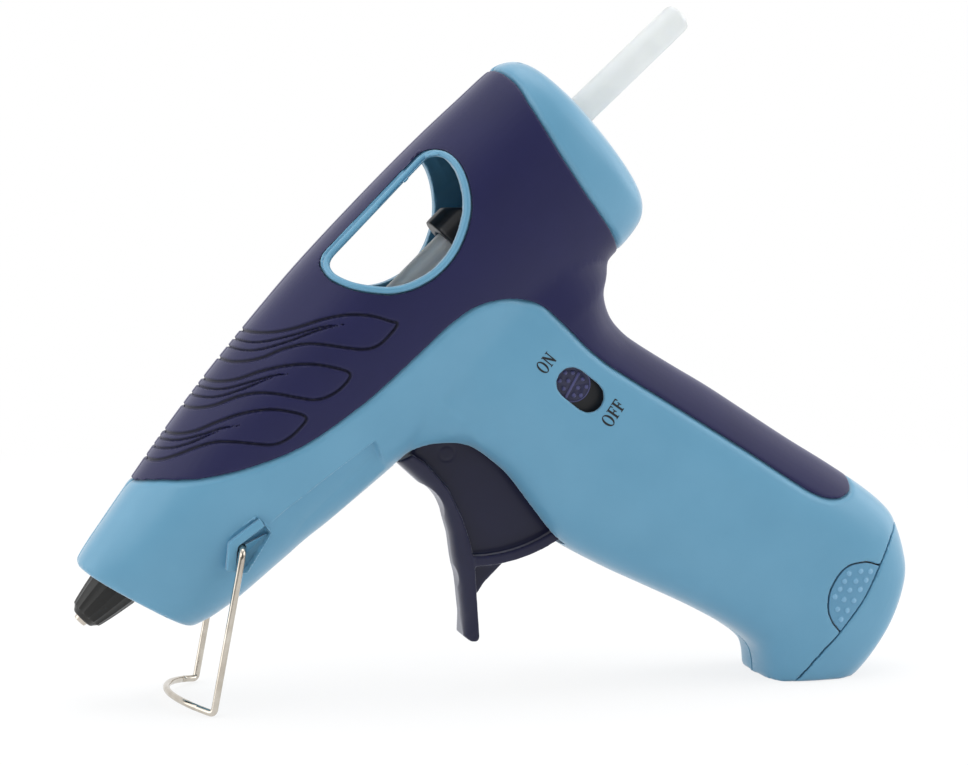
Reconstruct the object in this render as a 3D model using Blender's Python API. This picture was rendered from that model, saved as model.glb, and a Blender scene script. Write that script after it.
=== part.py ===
"""A cordless hot glue applicator for slim sticks, built as separate pieces in metres.

Most shapes are drawn in the barrel's own directions: along runs from the nozzle tip to the rear,
across is the world Y direction, and up is square to both. The object stands on its wire stand and
on the end cap of its grip.
"""

import math

import bmesh
import bpy
from mathutils import Matrix, Vector

# Driving sizes
design_length = 0.200  # the outline tables are shares of this
tip_x = -0.09998
tip_z = 0.019604
barrel_angle = math.radians(44.56)
grip_angle = math.radians(74.5)  # down from the barrel's direction
half_width_limit = 0.030  # cutters reach this far across

# How finely round forms are drawn
section_points = 24
half_step = 0.5
round_points = 16
coarse_points = 12
fine_points = 24
sweep_points = 40
corner_steps = 4
stadium_steps = 6
arc_steps = 8
arch_steps = 14
carriage_steps = 10
ball_steps = 6
heel_steps = 3
bow_steps = 4
bend_steps = 3
coil_points = 10
weld_distance = 0.000001
smooth_angle = math.radians(35)

# Casing
casing_front = 0.0116
casing_rear = 0.1668
wall_thickness = 0.0015
skin_thickness = 0.0008
fit_gap = 0.0003
half_seam = 0.00015
cap_wall = 0.0020
rib_reach = 0.0017  # ribs and bosses end this far inside the outer surface
rib_thickness = 0.0020
barrel_squareness = 2.4
grip_squareness = 3.2
heel_round = 0.0045
heel_side = 0.0186
window_rim = 0.0015
right_window_stretch = 1.08
pad_room_start = 0.0120
support_half_height = 0.0100
front_rib_start = 0.0225
middle_rib_start = 0.0560
sleeve_rib_start = 0.0760
rear_rib_start = 0.1540

# Glue stick and its rear guide
stick_radius = 0.0036
stick_start = 0.040
stick_end = 0.2025
bore_gap = 0.00025
guide_start = 0.1480
guide_end = 0.1634
guide_radius = 0.0049
guide_flange_radius = 0.0064
guide_flange_start = 0.1563
guide_flange_end = 0.1576

# Nozzle, its boot and the check valve, from the tip backwards
nozzle_tip_radius = 0.00155
nozzle_tip_edge = 0.0014
nozzle_cone_end = 0.0130
nozzle_cone_radius = 0.0043
nozzle_flange_radius = 0.0052
nozzle_flange_end = 0.0170
nozzle_shank_radius = 0.0032
nozzle_end = 0.0230
nozzle_bore = 0.0019
nozzle_bore_start = 0.0065
nozzle_mouth = 0.00075
nozzle_mouth_end = 0.0043
nozzle_seat = 0.0012
boot_start = 0.0009
boot_shoulder_start = 0.0013
boot_bore_start = 0.0018
boot_shoulder_end = 0.0024
boot_tip_radius = 0.0023
boot_shoulder_radius = 0.00380
boot_radius = 0.0058
boot_flange_radius = 0.0072
boot_flange_start = 0.0168
boot_flange_end = 0.0183
ball_radius = 0.0016
ball_place = 0.0148
check_start = 0.0072
check_turns = 5
check_wire = 0.0002
check_coil = 0.0014

# Melt chamber, heater and inlet sleeve
chamber_radius = 0.0070
chamber_front = 0.0190
chamber_rear = 0.0600
chamber_bore = stick_radius + bore_gap
spigot_radius = 0.0056
spigot_end = 0.0660
heater_start = 0.0320
heater_end = 0.0520
heater_half_width = 0.0045
heater_height = 0.0030
clip_start = 0.0380
clip_end = 0.0460
clip_thickness = 0.0006
sleeve_end = 0.0820
sleeve_radius = 0.0069
sleeve_mouth_radius = 0.0054
sleeve_clip_wire = 0.00035

# Feed carriage, clamp jaw and link
carriage_front = 0.1230
carriage_rear = 0.1390
carriage_half_width = 0.0066
carriage_bottom = -0.0092
carriage_round_centre = 0.0010
wing_half_width = 0.0135
wing_top = -0.0067
wing_bottom = -0.0089
wing_front = 0.1260
wing_rear = 0.1380
rail_start = 0.1100
rail_end = 0.1520
rail_inner = 0.0100
rail_thickness = 0.0012
jaw_half_width = 0.0024
jaw_slot_front = 0.1248
jaw_slot_rear = 0.1308
jaw_pin_radius = 0.0010
link_low = 0.0028
link_high = 0.0040
link_half_height = 0.0018
link_pin_radius = 0.0012
link_pin_low = -0.0022
open_pivot_gap = 0.0006

# Trigger and its return spring
lever_half_width = 0.0060
web_half_width = 0.0024
rim_half_width = 0.0055
rim_inner = 0.0354
rim_outer = 0.0379
rim_start = math.radians(-136)
rim_end = math.radians(-93)
hub_radius = 0.0036
hub_half_width = 0.0069
arm_half_height = 0.0032
trigger_pin_radius = 0.0015
trigger_pin_half = 0.0120
pivot_boss_radius = 0.0035
pivot_boss_start = 0.0073
slot_half_width = 0.0071
sweep_radius = 0.0386
spring_wire = 0.0003
spring_coil = 0.0046
spring_turns = 3
spring_start = 0.0033
spring_end = 0.0064
spring_leg = 0.0090

# Power pack
cell_radius = 0.0071
cell_spacing = 0.00725
cell_start = -0.0120
cell_end = 0.0384
cell_nub_radius = 0.00275
cell_nub_length = 0.0012
holder_half = 0.0151
holder_wall = 0.0005
holder_corner = 0.0072
holder_start = -0.0115
holder_end = 0.0310
plate_half = 0.0134
plate_thickness = 0.0007
inner_plate_start = -0.0184
inner_rib_start = -0.0204
cap_plate_start = 0.0436
stud_radius = 0.0028
contact_gap = 0.0003
contact_wire = 0.00035
contact_coil = 0.0032
contact_turns = 3

# Switch and leads
switch_slot_radius = 0.00375
button_radius = 0.00425
button_thickness = 0.0012
switch_deck = 0.0151
button_seat = switch_deck + fit_gap
button_top = button_seat + button_thickness
switch_back = 0.0098
switch_half_length = 0.0085
switch_half_width = 0.0042
frame_wall = 0.0013
lead_radius = 0.0007
lead_corner = 0.0030
lead_across = 0.0084
lead_up = -0.0040

# End cap and latch
pad_thickness = 0.0022
cap_post_radius = 0.0022
cap_post_spread = 0.0085
cap_hook_half_width = 0.0068
hook_inset = 0.0031

# Wire stand
bail_radius = 0.0008
bail_side = 0.0208
bail_hook = 0.0058  # the wire's ends reach this far in from its legs
bail_inner = bail_side - bail_hook
bail_hole = 0.0011
bail_bend = 0.0022
boss_side = bail_side - 2 * bail_radius
boss_inner = bail_inner - rib_thickness
foot_x = -0.0713
foot_bow = 0.0088
foot_lift = 0.0020

# Screws
screw_boss_radius = 0.0030
screw_head_radius = 0.0025
screw_head_height = 0.0016
screw_head_depth = 0.0050
screw_shank_radius = 0.0013

# Colours, linear
light_blue = (0.13, 0.36, 0.56)
navy = (0.022, 0.020, 0.075)
black = (0.02, 0.02, 0.02)
steel = (0.6, 0.6, 0.6)
brass = (0.75, 0.55, 0.22)
milky = (0.80, 0.84, 0.82)
aluminium = (0.72, 0.73, 0.74)
silicone = (0.55, 0.20, 0.12)
green = (0.05, 0.22, 0.09)
red = (0.5, 0.02, 0.02)
ceramic = (0.45, 0.42, 0.38)

# Barrel sections as shares: along, top, bottom, half width; the last value is the slant
barrel_section_shares = (
    (0.0580, 0.0425, -0.0805, 0.0580, -0.27),
    (0.0640, 0.0530, -0.0960, 0.0670, -0.27),
    (0.1000, 0.0620, -0.1125, 0.0750, -0.13),
    (0.1500, 0.0725, -0.1110, 0.0820, 0.0),
    (0.2250, 0.0855, -0.1190, 0.0900, 0.0),
    (0.3100, 0.0975, -0.1280, 0.0970, 0.0),
    (0.4000, 0.1065, -0.1360, 0.1025, 0.0),
    (0.4800, 0.1125, -0.1415, 0.1050, 0.0),
    (0.5900, 0.1155, -0.1450, 0.1060, 0.0),
    (0.6800, 0.1155, -0.1470, 0.1055, 0.0),
    (0.7500, 0.1130, -0.1480, 0.1040, 0.0),
    (0.7900, 0.1110, -0.1455, 0.1010, 0.03),
    (0.8100, 0.1055, -0.1385, 0.0950, 0.04),
    (0.8240, 0.0885, -0.1215, 0.0790, 0.055),
    (0.8340, 0.0510, -0.0800, 0.0475, 0.06),
)

# Grip sections as shares: up, front, back, half width
grip_section_shares = (
    (-0.0400, 0.4900, 0.7400, 0.0850),
    (-0.1000, 0.4600, 0.7400, 0.0900),
    (-0.1450, 0.4430, 0.7330, 0.0925),
    (-0.1650, 0.4535, 0.7065, 0.0925),
    (-0.1900, 0.4625, 0.6915, 0.0925),
    (-0.2150, 0.4660, 0.6885, 0.0925),
    (-0.2400, 0.4670, 0.6920, 0.0925),
    (-0.2900, 0.4600, 0.7045, 0.0925),
    (-0.3400, 0.4560, 0.7180, 0.0925),
    (-0.4000, 0.4720, 0.7315, 0.0925),
    (-0.4600, 0.4935, 0.7450, 0.0925),
    (-0.5200, 0.5150, 0.7600, 0.0925),
    (-0.5750, 0.5310, 0.7715, 0.0925),
    (-0.6100, 0.5355, 0.7745, 0.0925),
    (-0.6300, 0.5280, 0.7700, 0.0925),
    (-0.6600, 0.5050, 0.7560, 0.0890),
    (-0.6850, 0.5100, 0.7370, 0.0820),
    (-0.7085, 0.5300, 0.6970, 0.0700),
    (-0.7235, 0.5500, 0.6505, 0.0520),
    (-0.7310, 0.5700, 0.6155, 0.0300),
)

# Outlines of the side view as shares: along, up
skin_outline_shares = (
    (0.1300, 0.1300), (0.1475, 0.0850), (0.1540, 0.0755), (0.1750, 0.0610),
    (0.2150, 0.0260), (0.2650, -0.0050), (0.3225, -0.0295), (0.3925, -0.0430),
    (0.4410, -0.0475), (0.5000, -0.0500), (0.5410, -0.0520), (0.5760, -0.0600),
    (0.6070, -0.0805), (0.6285, -0.1105), (0.6330, -0.1490), (0.6345, -0.1930),
    (0.6415, -0.2350), (0.6700, -0.3500), (0.6865, -0.4180), (0.7040, -0.4970),
    (0.7140, -0.5265), (0.7265, -0.5430), (0.7425, -0.5515), (0.7575, -0.5480),
    (0.8000, -0.5250), (0.8000, -0.3000), (0.7800, -0.1900), (0.7545, -0.1550),
    (0.7545, -0.1150), (0.7590, -0.0580), (0.7695, -0.0010), (0.7845, 0.0570),
    (0.7935, 0.0815), (0.7970, 0.1025), (0.7970, 0.1300),
)
window_outline_shares = (
    (0.4885, 0.0860), (0.4915, 0.0920), (0.4980, 0.0948), (0.5500, 0.0957),
    (0.6440, 0.0957), (0.6545, 0.0930), (0.6615, 0.0860), (0.6645, 0.0735),
    (0.6620, 0.0590), (0.6540, 0.0440), (0.6435, 0.0310), (0.6305, 0.0215),
    (0.6160, 0.0145), (0.6000, 0.0100), (0.5825, 0.0080), (0.5650, 0.0090),
    (0.5490, 0.0130), (0.5340, 0.0195), (0.5210, 0.0280), (0.5095, 0.0395),
    (0.5000, 0.0525), (0.4930, 0.0670), (0.4890, 0.0800),
)
cap_outline_shares = (
    (0.4500, -0.6680), (0.4500, -0.9000), (0.8500, -0.9000), (0.8500, -0.6280),
    (0.7800, -0.6280), (0.7500, -0.6250), (0.7070, -0.6370), (0.6650, -0.6505),
    (0.6150, -0.6575), (0.5780, -0.6590), (0.5375, -0.6630),
)
pad_outline_shares = (
    (0.7065, -0.6368), (0.6955, -0.6195), (0.6740, -0.6070), (0.6465, -0.6110),
    (0.6275, -0.6240), (0.6190, -0.6390), (0.6170, -0.6573), (0.6650, -0.6503),
)
slot_outline_shares = (
    (0.3830, -0.1000), (0.5200, -0.1000), (0.5500, -0.1600), (0.5200, -0.3470),
    (0.4300, -0.3470), (0.4000, -0.3000), (0.3830, -0.2000),
)
stand_boss_shares = (
    (0.2300, -0.0475), (0.1850, -0.0425), (0.1590, -0.0650), (0.1750, -0.0850),
    (0.2270, -0.0725),
)
lever_outline_shares = (
    (0.3890, -0.1355), (0.3900, -0.1600), (0.3915, -0.1880), (0.3860, -0.2170),
    (0.3715, -0.2430), (0.3555, -0.2640), (0.3350, -0.2945), (0.3155, -0.3190),
    (0.2970, -0.3400), (0.2985, -0.3495), (0.3040, -0.3550), (0.3090, -0.3535),
    (0.3425, -0.3150), (0.3650, -0.2890), (0.3820, -0.2640), (0.3950, -0.2380),
    (0.4080, -0.2005), (0.4110, -0.1595), (0.4070, -0.1400),
)
web_top_shares = ((0.4000, -0.1395), (0.5000, -0.1395), (0.5000, -0.1720))
gusset_outline_shares = (
    (0.3960, -0.3150), (0.3600, -0.3150), (0.3440, -0.3185), (0.3600, -0.2870),
    (0.3850, -0.2800), (0.4000, -0.3050),
)
screw_place_shares = (
    (0.1300, -0.0725), (0.3500, 0.0675), (0.7300, 0.0700), (0.6750, -0.2850),
    (0.5050, -0.3650), (0.5525, -0.6000),
)
trigger_pivot_shares = (0.5000, -0.1560)
arm_pin_shares = (0.5210, -0.0580)
jaw_link_shares = (0.6370, -0.0580)
jaw_pin_shares = (0.6380, -0.0380)
jaw_outline_shares = (
    (0.6225, -0.0710), (0.6515, -0.0710), (0.6525, -0.0560), (0.6490, -0.0440),
    (0.6430, -0.0210), (0.6330, -0.0210), (0.6280, -0.0440), (0.6215, -0.0560),
)
switch_on_shares = (0.5932, -0.2035)
switch_off_shares = (0.5965, -0.2300)
stand_pivot_shares = (0.1915, -0.0605)
grip_middle_shares = (0.6195, -0.4405)
cap_front_hook_shares = ((0.5520, -0.6440), (0.5590, -0.6440), (0.5590, -0.6830), (0.5520, -0.6830))
cap_back_hook_shares = (
    (0.7450, -0.6060), (0.7515, -0.6060), (0.7515, -0.6330), (0.7700, -0.6480),
    (0.7700, -0.6580), (0.7450, -0.6580),
)

# Lead routes as shares: places in the side view, then how far across each one lies
near_lead_shares = (
    (
        (0.5870, -0.1600), (0.5350, -0.1250), (0.4600, -0.0800), (0.3200, -0.0620),
        (0.2720, -0.0640), (0.2640, -0.0470),
    ),
    (-0.0600, -0.0530, -0.0575, -0.0560, -0.0300, -0.0100),
)
pack_lead_shares = (
    ((0.5750, -0.3548), (0.5680, -0.3300), (0.5920, -0.2760)),
    (-0.0420, -0.0420, -0.0575),
)
far_lead_shares = (
    (
        (0.5750, -0.3548), (0.5680, -0.3300), (0.5400, -0.2200), (0.5250, -0.1200),
        (0.4600, -0.0800), (0.3200, -0.0620), (0.2720, -0.0640), (0.2640, -0.0470),
    ),
    (0.0420, 0.0420, 0.0550, 0.0530, 0.0575, 0.0560, 0.0300, 0.0100),
)

# Frames that turn a drawing's own directions into the world's
barrel_frame = Matrix.Translation((tip_x, 0, tip_z)) @ Matrix.Rotation(-barrel_angle, 4, "Y")


def sized(shares):
    return tuple(share * design_length for share in shares)


def side_points(table):
    return [sized(row) for row in table]


def at(along, across, up):
    return barrel_frame @ Vector((along, across, up))


grip_along, grip_up = sized(grip_middle_shares)
grip_frame = (
    barrel_frame
    @ Matrix.Translation((grip_along, 0, grip_up))
    @ Matrix.Rotation(grip_angle, 4, "Y")
)


def cell_frame(place):
    """The frame along the grip, moved across and up to a place."""
    return grip_frame @ Matrix.Translation((0, *place))


def cross_frame(place):
    """The frame whose first direction is world Y, at a point of the side view."""
    along, up = place
    turn = Matrix.Rotation(math.radians(90), 4, "Z")
    return barrel_frame @ Matrix.Translation((along, 0, up)) @ turn


# Making and joining solids


def clear_scene():
    for thing in list(bpy.data.objects):
        bpy.data.objects.remove(thing)


def made(name, points, faces):
    mesh = bpy.data.meshes.new(name)
    mesh.from_pydata([tuple(point) for point in points], [], faces)
    shape = bmesh.new()
    shape.from_mesh(mesh)
    bmesh.ops.recalc_face_normals(shape, faces=shape.faces)
    shape.to_mesh(mesh)
    shape.free()
    thing = bpy.data.objects.new(name, mesh)
    bpy.context.scene.collection.objects.link(thing)
    return thing


def lofted(name, rings):
    """A closed solid through rings of equally many points."""
    count = len(rings[0])
    points = [point for ring in rings for point in ring]
    faces = [list(range(count)), list(range(len(points) - count, len(points)))]
    for ring in range(len(rings) - 1):
        low = ring * count
        high = low + count
        for step in range(count):
            after = (step + 1) % count
            faces.append((low + step, low + after, high + after, high + step))
    return made(name, points, faces)


def prism(name, outline, low, high):
    """A side-view outline carried across the object from low to high."""
    rings = [[at(along, side, up) for along, up in outline] for side in (low, high)]
    return lofted(name, rings)


def turned(name, profile, frame, segments=round_points, closed=False):
    """A profile of distances and radii turned round the frame's first direction."""
    rings = []
    for distance, radius in profile:
        ring = []
        for step in range(segments):
            angle = math.tau * step / segments
            local = Vector((distance, radius * math.cos(angle), radius * math.sin(angle)))
            ring.append(frame @ local)
        rings.append(ring)
    if not closed:
        return lofted(name, rings)
    points = [point for ring in rings for point in ring]
    faces = []
    for ring in range(len(rings)):
        low = ring * segments
        high = (ring + 1) % len(rings) * segments
        for step in range(segments):
            after = (step + 1) % segments
            faces.append((low + step, low + after, high + after, high + step))
    return made(name, points, faces)


def arch(half_width, radius, bottom, steps):
    """A round top on a straight-sided foot, as distances across and up from the round's middle."""
    first = -math.acos(half_width / radius)
    outline = [(-half_width, bottom), (half_width, bottom)]
    for step in range(steps + 1):
        angle = first + (math.pi - 2 * first) * step / steps
        outline.append((radius * math.cos(angle), radius * math.sin(angle)))
    return outline


def lengthwise(name, outline, start, end, lift=0):
    """A cross section carried along the barrel from start to end."""
    rings = [[at(along, across, up + lift) for across, up in outline] for along in (start, end)]
    return lofted(name, rings)


def bar(name, frame, low, high):
    """A block between two corners of the frame."""
    rings = []
    for along in (low[0], high[0]):
        corners = ((low[1], low[2]), (high[1], low[2]), (high[1], high[2]), (low[1], high[2]))
        rings.append([frame @ Vector((along, across, up)) for across, up in corners])
    return lofted(name, rings)


def combine(target, tool, operation):
    """Joins, cuts or keeps the shared part, and uses the tool up."""
    step = target.modifiers.new("step", "BOOLEAN")
    step.operation = operation
    step.solver = "EXACT"
    step.object = tool
    bpy.context.view_layer.objects.active = target
    bpy.ops.object.modifier_apply(modifier=step.name)
    bpy.data.objects.remove(tool)
    return target


def cut(target, tool):
    return combine(target, tool, "DIFFERENCE")


def join(target, tool):
    return combine(target, tool, "UNION")


def keep(target, tool):
    return combine(target, tool, "INTERSECT")


def copied(thing):
    twin = thing.copy()
    twin.data = thing.data.copy()
    bpy.context.scene.collection.objects.link(twin)
    return twin


def finished(thing, name, colour, roughness, metallic=0.0, smooth=None):
    """Names a piece, gives it its material and shades its round faces smooth."""
    thing.name = name
    thing.data.name = name
    coat = bpy.data.materials.new(name)
    coat.use_nodes = True
    shader = coat.node_tree.nodes["Principled BSDF"]
    shader.inputs["Base Color"].default_value = (*colour, 1)
    shader.inputs["Roughness"].default_value = roughness
    shader.inputs["Metallic"].default_value = metallic
    thing.data.materials.clear()
    thing.data.materials.append(coat)
    if smooth is not None:
        thing.data.shade_smooth()
        thing.data.set_sharp_from_angle(angle=smooth)
    return thing


def hung_on(thing, pivot):
    """Moves a piece's origin to its joint's axis and leaves its shape where it is."""
    thing.data.transform(Matrix.Translation(-pivot))
    thing.location = pivot
    return thing


def grown(outline, distance):
    """The outline moved outwards by a distance, inwards where that is negative."""
    area = 0
    for (x1, y1), (x2, y2) in zip(outline, outline[1:] + outline[:1]):
        area += x1 * y2 - x2 * y1
    side = distance if area > 0 else -distance
    moved = []
    for before, here, after in zip(outline[-1:] + outline[:-1], outline, outline[1:] + outline[:1]):
        first = (Vector(here) - Vector(before)).normalized()
        second = (Vector(after) - Vector(here)).normalized()
        normal = Vector((first.y + second.y, -first.x - second.x)).normalized()
        lean = normal.dot(Vector((first.y, -first.x)))
        moved.append(tuple(Vector(here) + normal * (side / lean)))
    return moved


def wire(name, points, radius, rounding):
    """A round wire through points, as one closed mesh."""
    line = bpy.data.curves.new(name, "CURVE")
    line.dimensions = "3D"
    line.bevel_depth = radius
    line.bevel_resolution = rounding
    line.use_fill_caps = True
    track = line.splines.new("POLY")
    track.points.add(len(points) - 1)
    for knot, point in zip(track.points, points):
        knot.co = (*point, 1)
    guide = bpy.data.objects.new(name, line)
    bpy.context.scene.collection.objects.link(guide)
    bpy.context.view_layer.update()
    graph = bpy.context.evaluated_depsgraph_get()
    mesh = bpy.data.meshes.new_from_object(guide.evaluated_get(graph))
    bpy.data.objects.remove(guide)
    shape = bmesh.new()
    shape.from_mesh(mesh)
    bmesh.ops.remove_doubles(shape, verts=shape.verts, dist=weld_distance)
    bmesh.ops.recalc_face_normals(shape, faces=shape.faces)
    shape.to_mesh(mesh)
    shape.free()
    thing = bpy.data.objects.new(name, mesh)
    bpy.context.scene.collection.objects.link(thing)
    return thing


def rounded_path(points, radius, steps):
    """The path with each inner corner turned into a short arc."""
    path = [points[0]]
    for before, here, after in zip(points, points[1:], points[2:]):
        back = (before - here).normalized()
        onward = (after - here).normalized()
        half = back.angle(onward) / 2
        reach = min(radius / math.tan(half), (before - here).length / 2, (after - here).length / 2)
        start = here + back * reach
        end = here + onward * reach
        for step in range(steps + 1):
            share = step / steps
            path.append(start.lerp(here, share).lerp(here.lerp(end, share), share))
    path.append(points[-1])
    return path


# The casing's outer form


def oval(half_long, half_wide, squareness):
    """Points of a squarish oval: along its length, across its width."""
    points = []
    for step in range(section_points):
        angle = math.tau * (step + half_step) / section_points
        long = math.cos(angle)
        wide = math.sin(angle)
        power = 2 / squareness
        points.append(
            (
                half_long * math.copysign(abs(long) ** power, long),
                half_wide * math.copysign(abs(wide) ** power, wide),
            )
        )
    return points


def barrel_solid(inset):
    rings = []
    shrink = 1 - 2 * inset / (casing_rear - casing_front)
    for row in barrel_section_shares:
        along, top, bottom, half_width = sized(row[:4])
        slant = row[4]
        along = casing_front + inset + (along - casing_front) * shrink
        middle = (top + bottom) / 2
        half_height = (top - bottom) / 2 - inset
        ring = []
        for up, across in oval(half_height, half_width - inset, barrel_squareness):
            ring.append(at(along + slant * (middle + up), across, middle + up))
        rings.append(ring)
    return lofted("barrel_form", rings)


def grip_solid(inset):
    rings = []
    top = sized(grip_section_shares[0])[0]
    length = top - sized(grip_section_shares[-1])[0]
    for row in grip_section_shares:
        up, front, back, half_width = sized(row)
        up = top + (up - top) * (length - inset) / length
        middle = (front + back) / 2
        half_depth = (back - front) / 2 - inset
        ring = []
        for along, across in oval(half_depth, half_width - inset, grip_squareness):
            ring.append(at(middle + along, across, up))
        rings.append(ring)
    grip = lofted("grip_form", rings)
    shape = bmesh.new()
    shape.from_mesh(grip.data)
    everything = shape.verts[:] + shape.edges[:] + shape.faces[:]
    cutting = bmesh.ops.bisect_plane(
        shape, geom=everything, plane_co=(0, 0, inset), plane_no=(0, 0, -1), clear_outer=True
    )
    rim = [piece for piece in cutting["geom_cut"] if isinstance(piece, bmesh.types.BMEdge)]
    bmesh.ops.edgeloop_fill(shape, edges=rim)
    bmesh.ops.recalc_face_normals(shape, faces=shape.faces)
    shape.to_mesh(grip.data)
    shape.free()
    return grip


def heel_mould():
    """A block with rounded lower edges that gives the grip's foot its round sides."""
    low = -heel_side
    path = [(low, design_length), (low, heel_round)]
    for step in range(1, heel_steps):
        angle = math.radians(90) * step / heel_steps
        drop = heel_round * (1 - math.sin(angle))
        path.append((low + heel_round * (1 - math.cos(angle)), drop))
    path.append((low + heel_round, 0))
    mirrored = [(-across, height) for across, height in reversed(path)]
    outline = path + mirrored
    rings = []
    for end in (-design_length, design_length):
        rings.append([Vector((end, across, height)) for across, height in outline])
    return lofted("heel_mould", rings)


def casing_solid(inset):
    grip = grip_solid(inset)
    if inset == 0:
        keep(grip, heel_mould())
    return join(barrel_solid(inset), grip)


def mid_block(low, high):
    """Everything between two distances across."""
    reach = design_length
    rings = []
    for side in (low, high):
        corners = ((-reach, -reach), (reach, -reach), (reach, reach), (-reach, reach))
        rings.append([Vector((x, side, z)) for x, z in corners])
    return lofted("block", rings)


def stadium(start, end, radius):
    """An outline of two half rounds joined by straight sides."""
    start = Vector(start)
    end = Vector(end)
    heading = math.atan2(end.y - start.y, end.x - start.x)
    outline = []
    for middle, turn in ((end, -90), (start, 90)):
        for step in range(stadium_steps + 1):
            angle = heading + math.radians(turn) + math.pi * step / stadium_steps
            offset = Vector((math.cos(angle), math.sin(angle))) * radius
            outline.append(tuple(middle + offset))
    return outline


def disc(name, place, radius, low, high, segments=round_points):
    """A round bar that runs across the object."""
    return turned(name, ((low, radius), (high, radius)), cross_frame(place), segments)


def screw_places():
    return [sized(row) for row in screw_place_shares]


def surface_depth(place):
    """How far out the casing's surface lies at a screw, from its nearest section."""
    along, up = place
    nearest = min(barrel_section_shares, key=lambda row: abs(row[0] * design_length - along))
    _, top, bottom, half_width = sized(nearest[:4])
    if up > bottom:
        share = abs(up - (top + bottom) / 2) / ((top - bottom) / 2)
        return half_width * (1 - share**barrel_squareness) ** (1 / barrel_squareness)
    nearest = min(grip_section_shares, key=lambda row: abs(row[0] * design_length - up))
    _, front, back, half_width = sized(nearest)
    share = abs(along - (front + back) / 2) / ((back - front) / 2)
    return half_width * (1 - share**grip_squareness) ** (1 / grip_squareness)


# Casing halves


def support_solid():
    """The ribs, rails and bosses inside the casing, before they meet its wall."""
    reach = half_width_limit
    rows = (
        (front_rib_start, chamber_radius),
        (middle_rib_start, chamber_radius),
        (sleeve_rib_start, spigot_radius + fit_gap),
        (rear_rib_start, guide_radius),
    )
    supports = None
    for start, radius in rows:
        rib = bar(
            "rib",
            barrel_frame,
            (start, -reach, -support_half_height),
            (start + rib_thickness, reach, support_half_height),
        )
        far = start + 2 * rib_thickness
        hole = turned(
            "hole",
            ((start - rib_thickness, radius + fit_gap), (far, radius + fit_gap)),
            barrel_frame,
        )
        cut(rib, hole)
        supports = rib if supports is None else join(supports, rib)
    for upper in (wing_top + fit_gap, wing_bottom - fit_gap - rail_thickness):
        for side in (-1, 1):
            near, far = sorted((side * rail_inner, side * reach))
            ledge = bar(
                "ledge",
                barrel_frame,
                (rail_start, near, upper),
                (rail_end, far, upper + rail_thickness),
            )
            join(supports, ledge)
    for place in screw_places():
        join(supports, disc("boss", place, screw_boss_radius, -reach, reach, coarse_points))
    pivot = sized(trigger_pivot_shares)
    for side in (-1, 1):
        near, far = sorted((side * pivot_boss_start, side * reach))
        join(supports, disc("boss", pivot, pivot_boss_radius, near, far))
    contact_rib = bar(
        "contact_rib",
        grip_frame,
        (inner_rib_start, -reach, -plate_half),
        (inner_rib_start + rib_thickness - fit_gap, reach, plate_half),
    )
    for side in (-1, 1):
        path = cell_frame((side * lead_across, lead_up))
        reach = 2 * rib_thickness
        ends = (inner_rib_start - reach, inner_rib_start + reach)
        lead_room = lead_radius + fit_gap
        cut(contact_rib, turned("lead_room", [(end, lead_room) for end in ends], path, coarse_points))
    join(supports, contact_rib)
    join(supports, switch_frame_solid())
    keep(supports, casing_solid(rib_reach))
    return supports


def switch_place():
    start = Vector(sized(switch_on_shares))
    end = Vector(sized(switch_off_shares))
    return start, end


def switch_block(name, half_length, half_width, outer, inner):
    """A block on the switch's line, from outer to inner on the near side."""
    start, end = switch_place()
    middle = (start + end) / 2
    run = (end - start).normalized()
    aside = Vector((-run.y, run.x))
    corners = []
    for sign_long, sign_wide in ((-1, -1), (1, -1), (1, 1), (-1, 1)):
        corner = middle + run * (sign_long * half_length) + aside * (sign_wide * half_width)
        corners.append(tuple(corner))
    return prism(name, corners, -outer, -inner)


def switch_frame_solid():
    around = switch_half_length + fit_gap + frame_wall
    beside = switch_half_width + fit_gap + frame_wall
    frame = switch_block("frame", around, beside, half_width_limit, switch_back)
    pocket = switch_block(
        "pocket",
        switch_half_length + fit_gap,
        switch_half_width + fit_gap,
        switch_deck + fit_gap,
        switch_back - frame_wall,
    )
    return cut(frame, pocket)


def window_outline(side):
    """The window's opening, which reaches a little lower in the right half."""
    outline = side_points(window_outline_shares)
    if side < 0:
        return outline
    top = max(up for _, up in outline)
    return [(along, top + (up - top) * right_window_stretch) for along, up in outline]


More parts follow.
